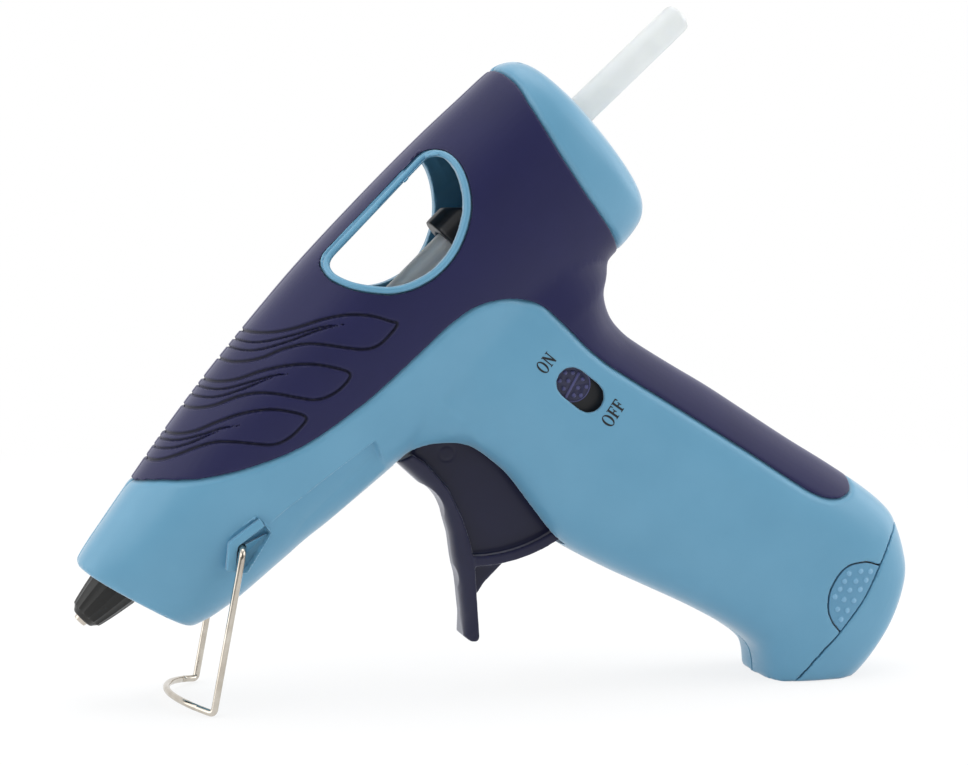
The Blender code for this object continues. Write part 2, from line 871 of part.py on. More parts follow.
def casing():
    """The whole hollow casing, before it is parted into its halves."""
    reach = half_width_limit
    inner_offset = skin_thickness + fit_gap + wall_thickness
    whole = casing_solid(0)
    skin_room = prism("skin_room", side_points(skin_outline_shares), -reach, reach)
    for side in (-1, 1):
        near, far = sorted((0, 2 * side * reach))
        rim = grown(window_outline(side), window_rim)
        cut(skin_room, prism("rim_area", rim, near, far))
    cut(skin_room, casing_solid(skin_thickness + fit_gap))
    cut(whole, skin_room)
    cut(whole, casing_solid(inner_offset))
    pivot = sized(stand_pivot_shares)
    for side in (-1, 1):
        near, far = sorted((side * boss_inner, side * boss_side))
        boss = prism("stand_boss", side_points(stand_boss_shares), near, far)
        cut(boss, barrel_solid(inner_offset))
        join(whole, boss)
    supports = support_solid()
    trigger_pivot = sized(trigger_pivot_shares)
    side_room = slot_half_width
    cut(supports, disc("sweep", trigger_pivot, sweep_radius, -side_room, side_room, sweep_points))
    join(whole, supports)
    cut(whole, prism("cap_room", side_points(cap_outline_shares), -reach, reach))
    for side in (-1, 1):
        near, far = sorted((0, side * reach))
        cut(whole, prism("window", window_outline(side), near, far))
    cut(whole, prism("slot", side_points(slot_outline_shares), -side_room, side_room))
    holes = (
        (-casing_front, boot_flange_start, boot_radius + fit_gap),
        (boot_flange_start - fit_gap, chamber_front, boot_flange_radius + fit_gap),
        (guide_end, stick_end, stick_radius + 2 * fit_gap),
    )
    for hole_start, hole_end, radius in holes:
        cut(whole, turned("hole", ((hole_start, radius), (hole_end, radius)), barrel_frame))
    for side in (-1, 1):
        near, far = sorted((side * (bail_inner - fit_gap), side * reach))
        cut(whole, disc("bail_hole", pivot, bail_hole, near, far, coarse_points))
        near, far = sorted((side * pivot_boss_start / 2, side * (trigger_pin_half + fit_gap)))
        pin_hole = trigger_pin_radius + fit_gap
        cut(whole, disc("pin_hole", trigger_pivot, pin_hole, near, far, coarse_points))
        near, far = sorted((side * pad_room_start, side * reach))
        room = grown(side_points(pad_outline_shares), fit_gap)
        cut(whole, prism("pad_room", room, near, far))
    start, end = switch_place()
    slot = stadium(start, end, switch_slot_radius)
    cut(whole, prism("switch_slot", slot, -reach, -switch_deck))
    button_room = stadium(start, end, button_radius + fit_gap)
    cut(whole, prism("button_room", button_room, -(button_top + fit_gap), -switch_deck))
    for place in screw_places():
        depth = surface_depth(place) - screw_head_depth
        shank_room = screw_shank_radius + fit_gap
        head_room = screw_head_radius + fit_gap
        cut(whole, disc("shank_room", place, shank_room, -depth / 2 - fit_gap, reach, coarse_points))
        cut(whole, disc("head_room", place, head_room, depth, reach, coarse_points))
    return whole


def build_casing():
    left = casing()
    right = copied(left)
    reach = half_width_limit
    cut(left, mid_block(-half_seam, reach))
    cut(right, mid_block(-reach, half_seam))
    finished(left, "shell_left", light_blue, 0.4, smooth=smooth_angle)
    finished(right, "shell_right", light_blue, 0.4, smooth=smooth_angle)


def build_skins():
    """The soft navy grip skins, one moulded on to each casing half."""
    reach = half_width_limit
    for name, side in (("overmould_left", -1), ("overmould_right", 1)):
        skin = casing_solid(0)
        outline = grown(side_points(skin_outline_shares), -fit_gap)
        keep(skin, prism("skin_area", outline, -reach, reach))
        window = grown(window_outline(side), window_rim + fit_gap)
        cut(skin, prism("window_area", window, -reach, reach))
        cut(skin, casing_solid(skin_thickness))
        near, far = sorted((-side * reach, side * half_seam))
        cut(skin, mid_block(near, far))
        if side > 0:
            head_room = screw_head_radius + fit_gap
            for place in screw_places():
                cut(skin, disc("screw_area", place, head_room, 0, reach, coarse_points))
        finished(skin, name, navy, 0.6, smooth=smooth_angle)


# Melt line


def build_nozzle():
    profile = (
        (0, nozzle_mouth),
        (0, nozzle_tip_radius),
        (nozzle_tip_edge, nozzle_tip_radius + bore_gap),
        (nozzle_cone_end, nozzle_cone_radius),
        (nozzle_cone_end, nozzle_flange_radius),
        (nozzle_flange_end, nozzle_flange_radius),
        (nozzle_flange_end, nozzle_shank_radius),
        (nozzle_end, nozzle_shank_radius),
        (nozzle_end, nozzle_seat),
        (nozzle_flange_end, nozzle_seat),
        (nozzle_flange_end - nozzle_mouth, nozzle_bore),
        (nozzle_bore_start, nozzle_bore),
        (nozzle_mouth_end, nozzle_mouth),
    )
    nozzle = turned("nozzle", profile, barrel_frame, closed=True)
    finished(nozzle, "nozzle", brass, 0.3, 1.0, smooth_angle)


def build_nozzle_boot():
    profile = (
        (boot_start, boot_tip_radius),
        (boot_shoulder_start, boot_tip_radius + 2 * fit_gap),
        (boot_shoulder_end, boot_shoulder_radius),
        (casing_front, boot_radius),
        (boot_flange_start, boot_radius),
        (boot_flange_start, boot_flange_radius),
        (boot_flange_end, boot_flange_radius),
        (boot_flange_end, nozzle_flange_radius + fit_gap),
        (nozzle_cone_end - fit_gap, nozzle_flange_radius + fit_gap),
        (nozzle_cone_end - fit_gap, nozzle_cone_radius + fit_gap),
        (boot_bore_start, boot_tip_radius - half_seam),
    )
    boot = turned("nozzle_boot", profile, barrel_frame, fine_points, closed=True)
    finished(boot, "nozzle_boot", black, 0.5, smooth=smooth_angle)


def helix(start, end, coil, turns, frame):
    """Points of a wound wire along the frame's first direction."""
    count = turns * coil_points
    points = []
    for step in range(count + 1):
        angle = math.tau * step / coil_points
        distance = start + (end - start) * step / count
        local = Vector((distance, coil * math.cos(angle), coil * math.sin(angle)))
        points.append(frame @ local)
    return points


def build_check_valve():
    profile = []
    for step in range(1, ball_steps):
        angle = math.pi * step / ball_steps
        profile.append((ball_place - ball_radius * math.cos(angle), ball_radius * math.sin(angle)))
    ball = turned("check_ball", profile, barrel_frame, coarse_points)
    finished(ball, "check_ball", steel, 0.2, 1.0, smooth_angle)
    end = ball_place - ball_radius - 2 * check_wire
    points = helix(check_start, end, check_coil, check_turns, barrel_frame)
    spring = wire("check_spring", points, check_wire, 0)
    finished(spring, "check_spring", steel, 0.3, 1.0, smooth_angle)


def build_chamber():
    shank_room = nozzle_shank_radius + fit_gap
    profile = (
        (chamber_front, shank_room),
        (chamber_front, chamber_radius),
        (chamber_rear, chamber_radius),
        (chamber_rear, spigot_radius),
        (spigot_end, spigot_radius),
        (spigot_end, chamber_bore + bore_gap),
        (spigot_end - spigot_radius, chamber_bore),
        (nozzle_end + fit_gap, chamber_bore),
        (nozzle_end + fit_gap, shank_room),
    )
    chamber = turned("melt_chamber", profile, barrel_frame, closed=True)
    finished(chamber, "melt_chamber", aluminium, 0.4, 1.0, smooth_angle)


def build_heater():
    top = -chamber_radius - fit_gap
    low = (heater_start, -heater_half_width, top - heater_height)
    high = (heater_end, heater_half_width, top)
    finished(bar("heater", barrel_frame, low, high), "heater", ceramic, 0.7)
    bands = []
    for grow, extra in ((fit_gap + clip_thickness, 0), (fit_gap, clip_thickness)):
        foot = top - heater_height - grow
        outline = arch(heater_half_width + grow, chamber_radius + grow, foot, arch_steps)
        bands.append(lengthwise("band", outline, clip_start - extra, clip_end + extra))
    clip = cut(*bands)
    finished(clip, "heater_clip", steel, 0.35, 1.0, smooth_angle)


def build_sleeve():
    over_spigot = spigot_radius + fit_gap
    profile = (
        (chamber_rear + fit_gap, over_spigot),
        (chamber_rear + fit_gap, sleeve_radius),
        (spigot_end, sleeve_radius),
        (sleeve_rib_start - rib_thickness, spigot_radius),
        (sleeve_end, sleeve_mouth_radius),
        (sleeve_end, stick_radius + bore_gap),
        (spigot_end + fit_gap, stick_radius + bore_gap),
        (spigot_end + fit_gap, over_spigot),
    )
    sleeve = turned("stick_sleeve", profile, barrel_frame, closed=True)
    finished(sleeve, "stick_sleeve", silicone, 0.7, smooth=smooth_angle)
    centre = (chamber_rear + spigot_end) / 2
    reach = sleeve_radius + fit_gap + sleeve_clip_wire
    ring = []
    for step in range(ball_steps):
        angle = math.tau * step / ball_steps
        offset = Vector((math.cos(angle), math.sin(angle))) * sleeve_clip_wire
        ring.append((centre + offset.x, reach + offset.y))
    clip = turned("sleeve_clip", ring, barrel_frame, closed=True)
    finished(clip, "sleeve_clip", steel, 0.3, 1.0, smooth_angle)


def build_stick():
    edge = bore_gap
    profile = (
        (stick_start, stick_radius - edge),
        (stick_start + edge, stick_radius),
        (stick_end - edge, stick_radius),
        (stick_end, stick_radius - edge),
    )
    stick = turned("glue_stick", profile, barrel_frame, fine_points)
    finished(stick, "glue_stick", milky, 0.35, smooth=smooth_angle)
    hung_on(stick, at(stick_start, 0, 0))


def build_guide():
    bore = stick_radius + bore_gap
    profile = (
        (guide_start, bore + fit_gap),
        (guide_start, guide_radius),
        (guide_flange_start, guide_radius),
        (guide_flange_start, guide_flange_radius),
        (guide_flange_end, guide_flange_radius),
        (guide_flange_end, guide_radius),
        (guide_end, guide_radius),
        (guide_end, bore + fit_gap),
        (guide_end - rib_thickness, bore),
        (guide_start + rib_thickness, bore),
    )
    guide = turned("stick_guide", profile, barrel_frame, closed=True)
    finished(guide, "stick_guide", black, 0.5, smooth=smooth_angle)


# Feed and trigger


def build_carriage():
    foot = carriage_bottom - carriage_round_centre
    outline = arch(carriage_half_width, carriage_half_width, foot, carriage_steps)
    block = lengthwise("carriage", outline, carriage_front, carriage_rear, carriage_round_centre)
    wings = bar(
        "wings",
        barrel_frame,
        (wing_front, -wing_half_width, wing_bottom),
        (wing_rear, wing_half_width, wing_top),
    )
    join(block, wings)
    bore = stick_radius + fit_gap
    ends = (carriage_front - rib_thickness, carriage_rear + rib_thickness)
    cut(block, turned("bore", [(end, bore) for end in ends], barrel_frame))
    room = jaw_half_width + fit_gap
    slot = bar(
        "jaw_slot",
        barrel_frame,
        (jaw_slot_front, -room, 2 * carriage_bottom),
        (jaw_slot_rear, room, 0),
    )
    cut(block, slot)
    pin_room = jaw_pin_radius + fit_gap / 2
    reach = wing_half_width
    cut(block, disc("pin_room", sized(jaw_pin_shares), pin_room, -reach, reach, coarse_points))
    finished(block, "feed_carriage", black, 0.45, smooth=smooth_angle)
    hung_on(block, at(carriage_front, 0, 0))


def build_jaw():
    jaw = prism("jaw", side_points(jaw_outline_shares), -jaw_half_width, jaw_half_width)
    pin_place = sized(jaw_pin_shares)
    reach = 2 * jaw_half_width
    pin_room = jaw_pin_radius + fit_gap / 2
    cut(jaw, disc("hole", pin_place, pin_room, -reach, reach, coarse_points))
    open_hole = link_pin_radius + open_pivot_gap
    cut(jaw, disc("open_hole", sized(jaw_link_shares), open_hole, -reach, reach, coarse_points))
    finished(jaw, "clamp_jaw", steel, 0.35, 1.0)
    hung_on(jaw, at(pin_place[0], 0, pin_place[1]))
    half = carriage_half_width - fit_gap
    pin = disc("pin", pin_place, jaw_pin_radius, -half, half, coarse_points)
    finished(pin, "jaw_pin", steel, 0.25, 1.0, smooth_angle)
    hung_on(pin, at(pin_place[0], 0, pin_place[1]))


def build_link():
    start = sized(arm_pin_shares)
    end = sized(jaw_link_shares)
    link = prism("link", stadium(start, end, link_half_height), link_low, link_high)
    pin_high = link_high - fit_gap
    for place in (start, end):
        join(link, disc("pin", place, link_pin_radius, link_pin_low, pin_high, coarse_points))
    finished(link, "feed_link", steel, 0.35, 1.0, smooth_angle)
    hung_on(link, at(start[0], 0, start[1]))


def arc_points(centre, radius, start, end):
    points = []
    for step in range(arc_steps + 1):
        angle = start + (end - start) * step / arc_steps
        points.append((centre[0] + radius * math.cos(angle), centre[1] + radius * math.sin(angle)))
    return points


def build_trigger():
    pivot = sized(trigger_pivot_shares)
    lever = prism("lever", side_points(lever_outline_shares), -lever_half_width, lever_half_width)
    web = side_points(web_top_shares)
    web += arc_points(pivot, rim_inner + fit_gap, rim_end, rim_start)
    join(lever, prism("web", web, -web_half_width, web_half_width))
    rim = arc_points(pivot, rim_outer, rim_start, rim_end)
    rim += arc_points(pivot, rim_inner, rim_end, rim_start)
    join(lever, prism("rim", rim, -rim_half_width, rim_half_width))
    gusset = side_points(gusset_outline_shares)
    join(lever, prism("gusset", gusset, -web_half_width, web_half_width))
    join(lever, disc("hub", pivot, hub_radius, -hub_half_width, hub_half_width))
    arm_end = sized(arm_pin_shares)
    arm = stadium(pivot, arm_end, arm_half_height)
    join(lever, prism("arm", arm, -web_half_width, web_half_width))
    reach = 2 * hub_half_width
    cut(lever, disc("hub_bore", pivot, trigger_pin_radius + bore_gap, -reach, reach))
    arm_bore = link_pin_radius + bore_gap
    cut(lever, disc("arm_bore", arm_end, arm_bore, -reach, reach, coarse_points))
    finished(lever, "trigger", navy, 0.45, smooth=smooth_angle)
    hung_on(lever, at(pivot[0], 0, pivot[1]))
    half = trigger_pin_half
    pin = disc("pin", pivot, trigger_pin_radius, -half, half, coarse_points)
    finished(pin, "trigger_pin", steel, 0.25, 1.0, smooth_angle)


def build_return_spring():
    """A wound spring round the trigger's hub, with a straight leg at each end."""
    frame = cross_frame(sized(trigger_pivot_shares))
    coil = helix(spring_start, spring_end, spring_coil, spring_turns, frame)
    first = (coil[0] - coil[1]).normalized()
    last = (coil[-1] - coil[-2]).normalized()
    points = [coil[0] + first * spring_leg] + coil + [coil[-1] + last * spring_leg]
    spring = wire("return_spring", points, spring_wire, 0)
    finished(spring, "return_spring", steel, 0.3, 1.0, smooth_angle)


# Switch and leads


def build_switch():
    body = switch_block("switch", switch_half_length, switch_half_width, switch_deck, switch_back)
    finished(body, "switch_body", black, 0.4)
    place = tuple(switch_place()[0])
    cap = disc("cap", place, button_radius, -button_top, -button_seat, fine_points)
    finished(cap, "switch_button", navy, 0.5, smooth=smooth_angle)
    hung_on(cap, at(place[0], -button_seat, place[1]))


def build_leads():
    rows = (
        ("lead_switch_to_heater", near_lead_shares, red),
        ("lead_pack_to_switch", pack_lead_shares, red),
        ("lead_pack_to_heater", far_lead_shares, black),
    )
    for name, (places, sides), colour in rows:
        points = []
        for place, side in zip(places, sized(sides)):
            along, up = sized(place)
            points.append(at(along, side, up))
        path = rounded_path(points, lead_corner, bend_steps)
        finished(wire(name, path, lead_radius, 2), name, colour, 0.4, smooth=smooth_angle)


# Power pack


def cell_places():
    sides = (-cell_spacing, cell_spacing)
    return [(across, up) for across in sides for up in sides]


def faces_inward(place):
    """Every second cell has its nub towards the trigger."""
    return place[0] * place[1] > 0


def build_cells():
    for number, place in enumerate(cell_places(), 1):
        inward = faces_inward(place)
        start = cell_start + cell_nub_length * inward
        end = cell_end - cell_nub_length * (not inward)
        body = [(start, cell_radius), (end, cell_radius)]
        if inward:
            body = [(cell_start, cell_nub_radius), (start, cell_nub_radius)] + body
        else:
            body = body + [(end, cell_nub_radius), (cell_end, cell_nub_radius)]
        cell = turned("cell", body, cell_frame(place))
        name = f"cell_{number}"
        finished(cell, name, green, 0.35, smooth=smooth_angle)
        hung_on(cell, cell_frame(place) @ Vector((cell_start, 0, 0)))


def rounded_square(half, corner):
    outline = []
    for quarter in range(4):
        angle = math.radians(90) * quarter
        middle = Matrix.Rotation(angle, 2) @ Vector((half - corner, half - corner))
        for step in range(corner_steps + 1):
            turn = angle + math.radians(90) * step / corner_steps
            outline.append(middle + Vector((math.cos(turn), math.sin(turn))) * corner)
    return outline


def grip_tube(name, half, corner, start, end):
    rings = []
    for distance in (start, end):
        outline = rounded_square(half, corner)
        rings.append([grip_frame @ Vector((distance, point.x, point.y)) for point in outline])
    return lofted(name, rings)


def build_cell_holder():
    holder = grip_tube("holder", holder_half, holder_corner, holder_start, holder_end)
    inner = holder_half - holder_wall
    corner = holder_corner - holder_wall
    beyond = holder_wall
    cut(holder, grip_tube("inside", inner, corner, holder_start - beyond, holder_end + beyond))
    finished(holder, "cell_holder", black, 0.5, smooth=smooth_angle)


def build_contacts():
    """A contact board at each end of the cells, with studs for nubs and springs for flat ends."""
    rows = (
        ("inner_contact_board", inner_plate_start, cell_start, True),
        ("cap_contact_board", cap_plate_start, cell_end, False),
    )
    for name, plate_start, cell_face, at_inner in rows:
        plate_end = plate_start + plate_thickness
        plate = grip_tube("plate", plate_half, holder_corner, plate_start, plate_end)
        for number, place in enumerate(cell_places(), 1):
            if at_inner:
                low = plate_end
                high = cell_face - contact_gap
            else:
                low = cell_face + contact_gap
                high = plate_start
            if faces_inward(place) == at_inner:
                seat = plate_thickness / 2
                ends = (low - seat * at_inner, high + seat * (not at_inner))
                stud = [(end, stud_radius) for end in ends]
                join(plate, turned("stud", stud, cell_frame(place), coarse_points))
                continue
            frame = cell_frame(place)
            room = contact_wire + contact_gap
            points = helix(low + room, high - contact_wire, contact_coil, contact_turns, frame)
            spring = wire("spring", points, contact_wire, 0)
            side = "inner" if at_inner else "cap"
            finished(spring, f"{side}_contact_spring_{number}", steel, 0.25, 1.0, smooth_angle)
        finished(plate, name, brass, 0.3, 1.0, smooth_angle)


# End cap and latch


def build_cap():
    reach = half_width_limit
    outline = grown(side_points(cap_outline_shares), -fit_gap)
    cap = keep(casing_solid(0), prism("cap_area", outline, -reach, reach))
    cut(cap, casing_solid(cap_wall))
    posts = None
    for across in (-cap_post_spread, cap_post_spread):
        profile = (
            (cap_plate_start + plate_thickness + contact_gap, cap_post_radius),
            (2 * cell_end, cap_post_radius),
        )
        post = turned("post", profile, cell_frame((across, 0)), coarse_points)
        posts = post if posts is None else join(posts, post)
    keep(posts, casing_solid(cap_wall / 2))
    keep(posts, prism("cap_area", outline, -reach, reach))
    join(cap, posts)
    for table in (cap_front_hook_shares, cap_back_hook_shares):
        tongue = prism("tongue", side_points(table), -cap_hook_half_width, cap_hook_half_width)
        keep(tongue, casing_solid(hook_inset))
        root_half_width = cap_hook_half_width + fit_gap
        root_outline = grown(side_points(table), fit_gap / 2)
        root = prism("root", root_outline, -root_half_width, root_half_width)
        keep(root, casing_solid(cap_wall / 2))
        keep(root, prism("cap_area", outline, -reach, reach))
        join(tongue, root)
        join(cap, tongue)
    finished(cap, "grip_end_cap", light_blue, 0.4, smooth=smooth_angle)
    hung_on(cap, grip_frame @ Vector((cap_plate_start, 0, 0)))


def build_pads():
    for name, side in (("latch_pad_left", -1), ("latch_pad_right", 1)):
        reach = half_width_limit
        near, far = sorted((side * pad_room_start, side * reach))
        pad = keep(casing_solid(0), prism("pad_area", side_points(pad_outline_shares), near, far))
        cut(pad, casing_solid(pad_thickness))
        middle = Vector((0, 0))
        for point in side_points(pad_outline_shares):
            middle += Vector(point) / len(pad_outline_shares)
        finished(pad, name, light_blue, 0.4, smooth=smooth_angle)
        hung_on(pad, at(middle.x, side * heel_side, middle.y))


# Stand and screws


def bail_half():
    """One side of the stand, from the end in its hole to the middle of the bowed foot."""
    pivot_along, pivot_up = sized(stand_pivot_shares)
    pivot = at(pivot_along, 0, pivot_up)
    path = [
        Vector((pivot.x, -bail_inner, pivot.z)),
        Vector((pivot.x, -bail_side, pivot.z)),
        Vector((foot_x, -bail_side, bail_radius)),
    ]
    bow_radius = (bail_side**2 + foot_bow**2) / (2 * foot_bow)
    for step in range(1, bow_steps + 1):
        across = bail_side * (1 - step / bow_steps)
        forward = math.sqrt(bow_radius**2 - across**2) - (bow_radius - foot_bow)
        lift = foot_lift * forward / foot_bow
        path.append(Vector((foot_x - forward, -across, bail_radius + lift)))
    return path


def build_stand():
    pivot_along, pivot_up = sized(stand_pivot_shares)
    near = bail_half()
    far = [Vector((point.x, -point.y, point.z)) for point in reversed(near[:-1])]
    path = rounded_path(near + far, bail_bend, bend_steps)
    bail = wire("stand_bail", path, bail_radius, 1)
    finished(bail, "stand_bail", steel, 0.2, 1.0, smooth_angle)
    hung_on(bail, at(pivot_along, 0, pivot_up))


def build_screws():
    for number, place in enumerate(screw_places(), 1):
        depth = surface_depth(place) - screw_head_depth
        head = depth + fit_gap
        frame = cross_frame(place)
        end = -depth / 2
        profile = (
            (end, screw_shank_radius),
            (head, screw_shank_radius),
            (head, screw_head_radius),
            (head + screw_head_height, screw_head_radius - fit_gap),
        )
        screw = turned("screw", profile, frame, coarse_points)
        finished(screw, f"screw_{number}", steel, 0.35, 1.0, smooth_angle)


clear_scene()
build_casing()
build_skins()
build_nozzle()
build_nozzle_boot()
build_check_valve()
build_chamber()
build_heater()
build_sleeve()
build_stick()
build_guide()
build_carriage()
build_jaw()
build_link()
build_trigger()
build_return_spring()
build_switch()
build_leads()
build_cells()
build_cell_holder()
build_contacts()
build_cap()
build_pads()
build_stand()
build_screws()
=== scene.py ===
import math

import bmesh
import bpy
import numpy as np
from mathutils import Matrix, Vector
from mathutils.bvhtree import BVHTree


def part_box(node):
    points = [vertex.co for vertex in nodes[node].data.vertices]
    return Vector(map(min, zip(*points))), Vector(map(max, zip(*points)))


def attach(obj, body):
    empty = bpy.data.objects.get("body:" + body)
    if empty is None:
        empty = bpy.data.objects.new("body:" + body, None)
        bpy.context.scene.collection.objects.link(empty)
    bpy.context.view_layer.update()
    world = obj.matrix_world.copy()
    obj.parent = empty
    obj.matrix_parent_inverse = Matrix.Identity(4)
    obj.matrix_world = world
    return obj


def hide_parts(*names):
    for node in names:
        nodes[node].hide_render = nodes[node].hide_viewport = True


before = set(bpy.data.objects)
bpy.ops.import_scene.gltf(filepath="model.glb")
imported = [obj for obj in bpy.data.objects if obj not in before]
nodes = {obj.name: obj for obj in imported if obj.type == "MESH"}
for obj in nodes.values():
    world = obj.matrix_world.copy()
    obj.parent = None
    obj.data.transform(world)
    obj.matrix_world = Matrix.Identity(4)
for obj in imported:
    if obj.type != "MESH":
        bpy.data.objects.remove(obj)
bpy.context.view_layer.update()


# Camera
# The viewing point of the photograph, fitted to the outline, the stand's legs and the window's edges.

def placed(name, data):
    """A new object in the scene."""
    piece = bpy.data.objects.new(name, data)
    bpy.context.scene.collection.objects.link(piece)
    return piece


camera_data = bpy.data.cameras.new("camera")
camera_data.sensor_width = 36
camera_data.lens = 84.6346
camera = placed("camera", camera_data)
camera.matrix_world = Matrix((
    (0.9751669, 0.0195457, -0.2206064, -0.1236962),
    (-0.2214369, 0.0686554, -0.972755, -0.528809),
    (-0.0038673, 0.9974488, 0.0712786, 0.1118353),
    (0, 0, 0, 1),
))
bpy.context.scene.camera = camera


# Casing halves
# Two thin shells moulded in satin light-blue ABS, parted down the middle and screwed together from the
# right. The barrel and the grip flow into each other, and every opening has a softly rounded lip.

mm = 0.001
barrel_tip = Vector((-0.09998, 0, 0.019604))
barrel_angle = math.radians(44.56)
barrel_frame = Matrix.Translation(barrel_tip) @ Matrix.Rotation(-barrel_angle, 4, "Y")
heel_half_width = 18.6
heel_round = 4.5
ring_points = 72
rings_between = 6

# Along, top, bottom, half width and slant of the barrel's sections, in millimetres but for the slant
barrel_sections = np.array((
    (11.6, 8.5, -18.6, 11.8, -0.27), (12.4, 10.3, -19.6, 13.2, -0.27),
    (16, 11.5, -20.5, 14.3, -0.2), (20, 12.4, -21.3, 15, -0.13),
    (30, 14.5, -22.5, 16.4, 0),
    (45, 17.1, -23.8, 18, 0), (62, 19.5, -25.6, 19.4, 0),
    (80, 21.3, -27.2, 20.5, 0), (96, 22.5, -28.3, 21, 0),
    (118, 23.1, -29, 21.2, 0), (136, 23.1, -29.4, 21.1, 0),
    (150, 22.6, -29.6, 20.8, 0), (158, 22.2, -29.1, 20.2, 0.03),
    (162, 21.1, -27.7, 19, 0.04), (164.8, 17.7, -24.3, 15.8, 0.055),
    (166.8, 10.2, -16, 9.5, 0.06),
))
# The same for the swelling under the barrel that runs into the grip, above the trigger
root_sections = np.array((
    (74, 20, -26.5, 19.8, 0), (80.4, 21, -27.4, 19, 0),
    (82.6, 21, -28.4, 18, 0), (85.5, 21.5, -30.2, 17.2, 0),
    (88.2, 21.5, -32.5, 17, 0), (90.3, 21.5, -34.7, 17, 0),
    (92, 21.5, -37.2, 17, 0), (93.2, 21.5, -40.1, 17, 0),
    (94, 21.5, -43.6, 17, 0), (96, 21.5, -43.6, 16.4, 0),
    (99, 21.5, -43.6, 14.6, 0), (102, 21.5, -43.6, 11, 0),
))
# Up, front, back and half width of the grip's sections, in millimetres
grip_sections = np.array((
    (-8, 98, 148, 17), (-20, 92, 148, 18), (-29, 88.6, 146.6, 18.5),
    (-33, 90.7, 141.3, 18.5), (-38, 92.5, 138.3, 18.5), (-43, 93.2, 137.7, 18.5),
    (-48, 93.4, 138.4, 18.5), (-58, 92, 140.9, 18.5), (-68, 91.2, 143.6, 18.5),
    (-80, 94.4, 146.3, 18.5), (-92, 98.7, 149, 18.5), (-104, 103, 152, 18.5),
    (-115, 106.2, 154.3, 18.5), (-122, 107.1, 154.9, 18.5), (-126, 105.6, 154, 18.5),
    (-132, 101, 151.2, 17.8), (-137, 102, 147.4, 16.4), (-141.7, 106, 139.4, 14),
    (-144.7, 110, 130.1, 10.4), (-146.2, 114, 123.1, 6),
))
# The side view's outlines, along and up in millimetres, first the window's as the solids have it
window_opening = (
    (97.7, 17.2), (98.3, 18.4), (99.6, 18.96), (101.2, 18.99), (103.6, 19.03), (110, 19.14),
    (119, 19.14), (125.2, 19.14), (127.4, 19.14), (128.8, 19.14), (130.9, 18.6),
    (132.3, 17.2), (132.9, 14.7), (132.4, 11.8), (130.8, 8.8), (128.7, 6.2), (126.1, 4.3),
    (123.2, 2.9), (120, 2), (116.5, 1.6), (113, 1.8), (109.8, 2.6), (106.8, 3.9),
    (104.2, 5.6), (101.9, 7.9), (100, 10.5), (98.6, 13.4), (97.8, 16),
)
# The window's outline as the casing shows it
window_shape = (
    (97.55, 17.25), (98.15, 18.5), (99.5, 19.1), (101.2, 19.28), (103.8, 19.32), (110.3, 19.45),
    (119.5, 19.64), (126.6, 19.8), (129.2, 19.86), (131, 19.86), (132.9, 19.4),
    (134.3, 17.8), (134.4, 15.3), (133.3, 12.3), (131.3, 9.2), (128.9, 6.6), (126.3, 4.8),
    (122.9, 3.1), (119.8, 2.05), (116.4, 1.6), (113, 1.75), (109.8, 2.6), (106.9, 3.8),
    (104, 5.8), (102.1, 7.9), (99.9, 10.8), (98.5, 13.2), (97.6, 15.8),
)
skin_outline = (
    (22.5, 35), (26, 26), (29.5, 17), (30.8, 15.1), (35, 12.2), (43, 5.2), (53, -1),
    (64.5, -5.9), (78.5, -8.6), (88.2, -9.5), (100, -10), (108.2, -10.4), (115.2, -12), (121.4, -16.1),
    (125.7, -22.1), (126.6, -29.8), (126.9, -38.6), (128.3, -47), (134, -70), (137.3, -83.6),
    (140.8, -99.4), (142.8, -105.3), (145.3, -108.6), (148.5, -110.3), (151.5, -109.6), (160, -105),
    (160, -60), (156, -38), (150.9, -31), (150.9, -23), (151.8, -11.6), (153.9, -0.2),
    (156.9, 11.4), (158.7, 16.3), (159.4, 20.5), (159.4, 26), (159.4, 35),
)
cap_seam = (
    (90, -133.6), (107.5, -132.6), (115.6, -131.8), (123, -131.5), (133, -130.1), (141.4, -127.4),
    (150, -125), (156, -125.6), (170, -125.6),
)
pad_arc = (
    (141.3, -127.4), (139.1, -123.9), (134.8, -121.4), (129.3, -122.2), (125.5, -124.8), (123.8, -127.8),
    (123.4, -131.5),
)
barrel_panel = ((44.8, -12.5), (77, -16.9), (75, -23.5), (70, -40), (20, -40), (44, -13.7))
stand_boss = ((46.4, -9.6), (36.6, -8.2), (31.4, -13), (33.2, -16.2), (45, -14.4))
boss_band = (
    (37.1, -8.9), (45.9, -10.1), (45.5, -12.1), (38.4, -11.1), (37, -11.7), (33.6, -14.6), (32.2, -13.1),
)
boss_foot, boss_face = 13, 19.2
# The hollow's rim and its floor, each with how far across it lies
hollow_rim = (
    (38, -11.5, 18.4), (44.4, -13.8, 17.8), (44.6, -14.7, 17.3), (35.6, -16.3, 17.3), (33.4, -14.8, 18.4),
)
hollow_floor = (
    (38.1, -13.9, 16.5), (44, -13.9, 17.3), (44.1, -14.1, 17.3), (37.9, -14.3, 16.5), (37.4, -14, 16.5),
)
wire_pivot = (38.3, -12.1)
wire_hole = 1.1
# How square the sections' corners are, from 2 for an ellipse
barrel_squareness, grip_squareness = 2.4, 3.2
form_faces, shell_faces = 0.8, 0.42
most_shell_triangles = 180000
# How far a solid's surface moves on to the true form, most of it and at the nose and the root
near_reach, far_reach = 0.45, 2.2
nose_end, nose_top = 30, -12
root_middle, root_half, root_top = 92, 20, -12.5
# How nearly a surface faces the way the form does to be taken for the outside, as a cosine
facing, root_facing = 0.7, 0.3
bead_radius, bead_out, bead_sunk = 0.78, 0.72, 0.35
far_window_taller = 1.08
# The middle and the lengths of the room that the thick part over the trigger's web fills
filling_middle, filling_room = (84, 14.15, -33.5), (24, 14, 24)
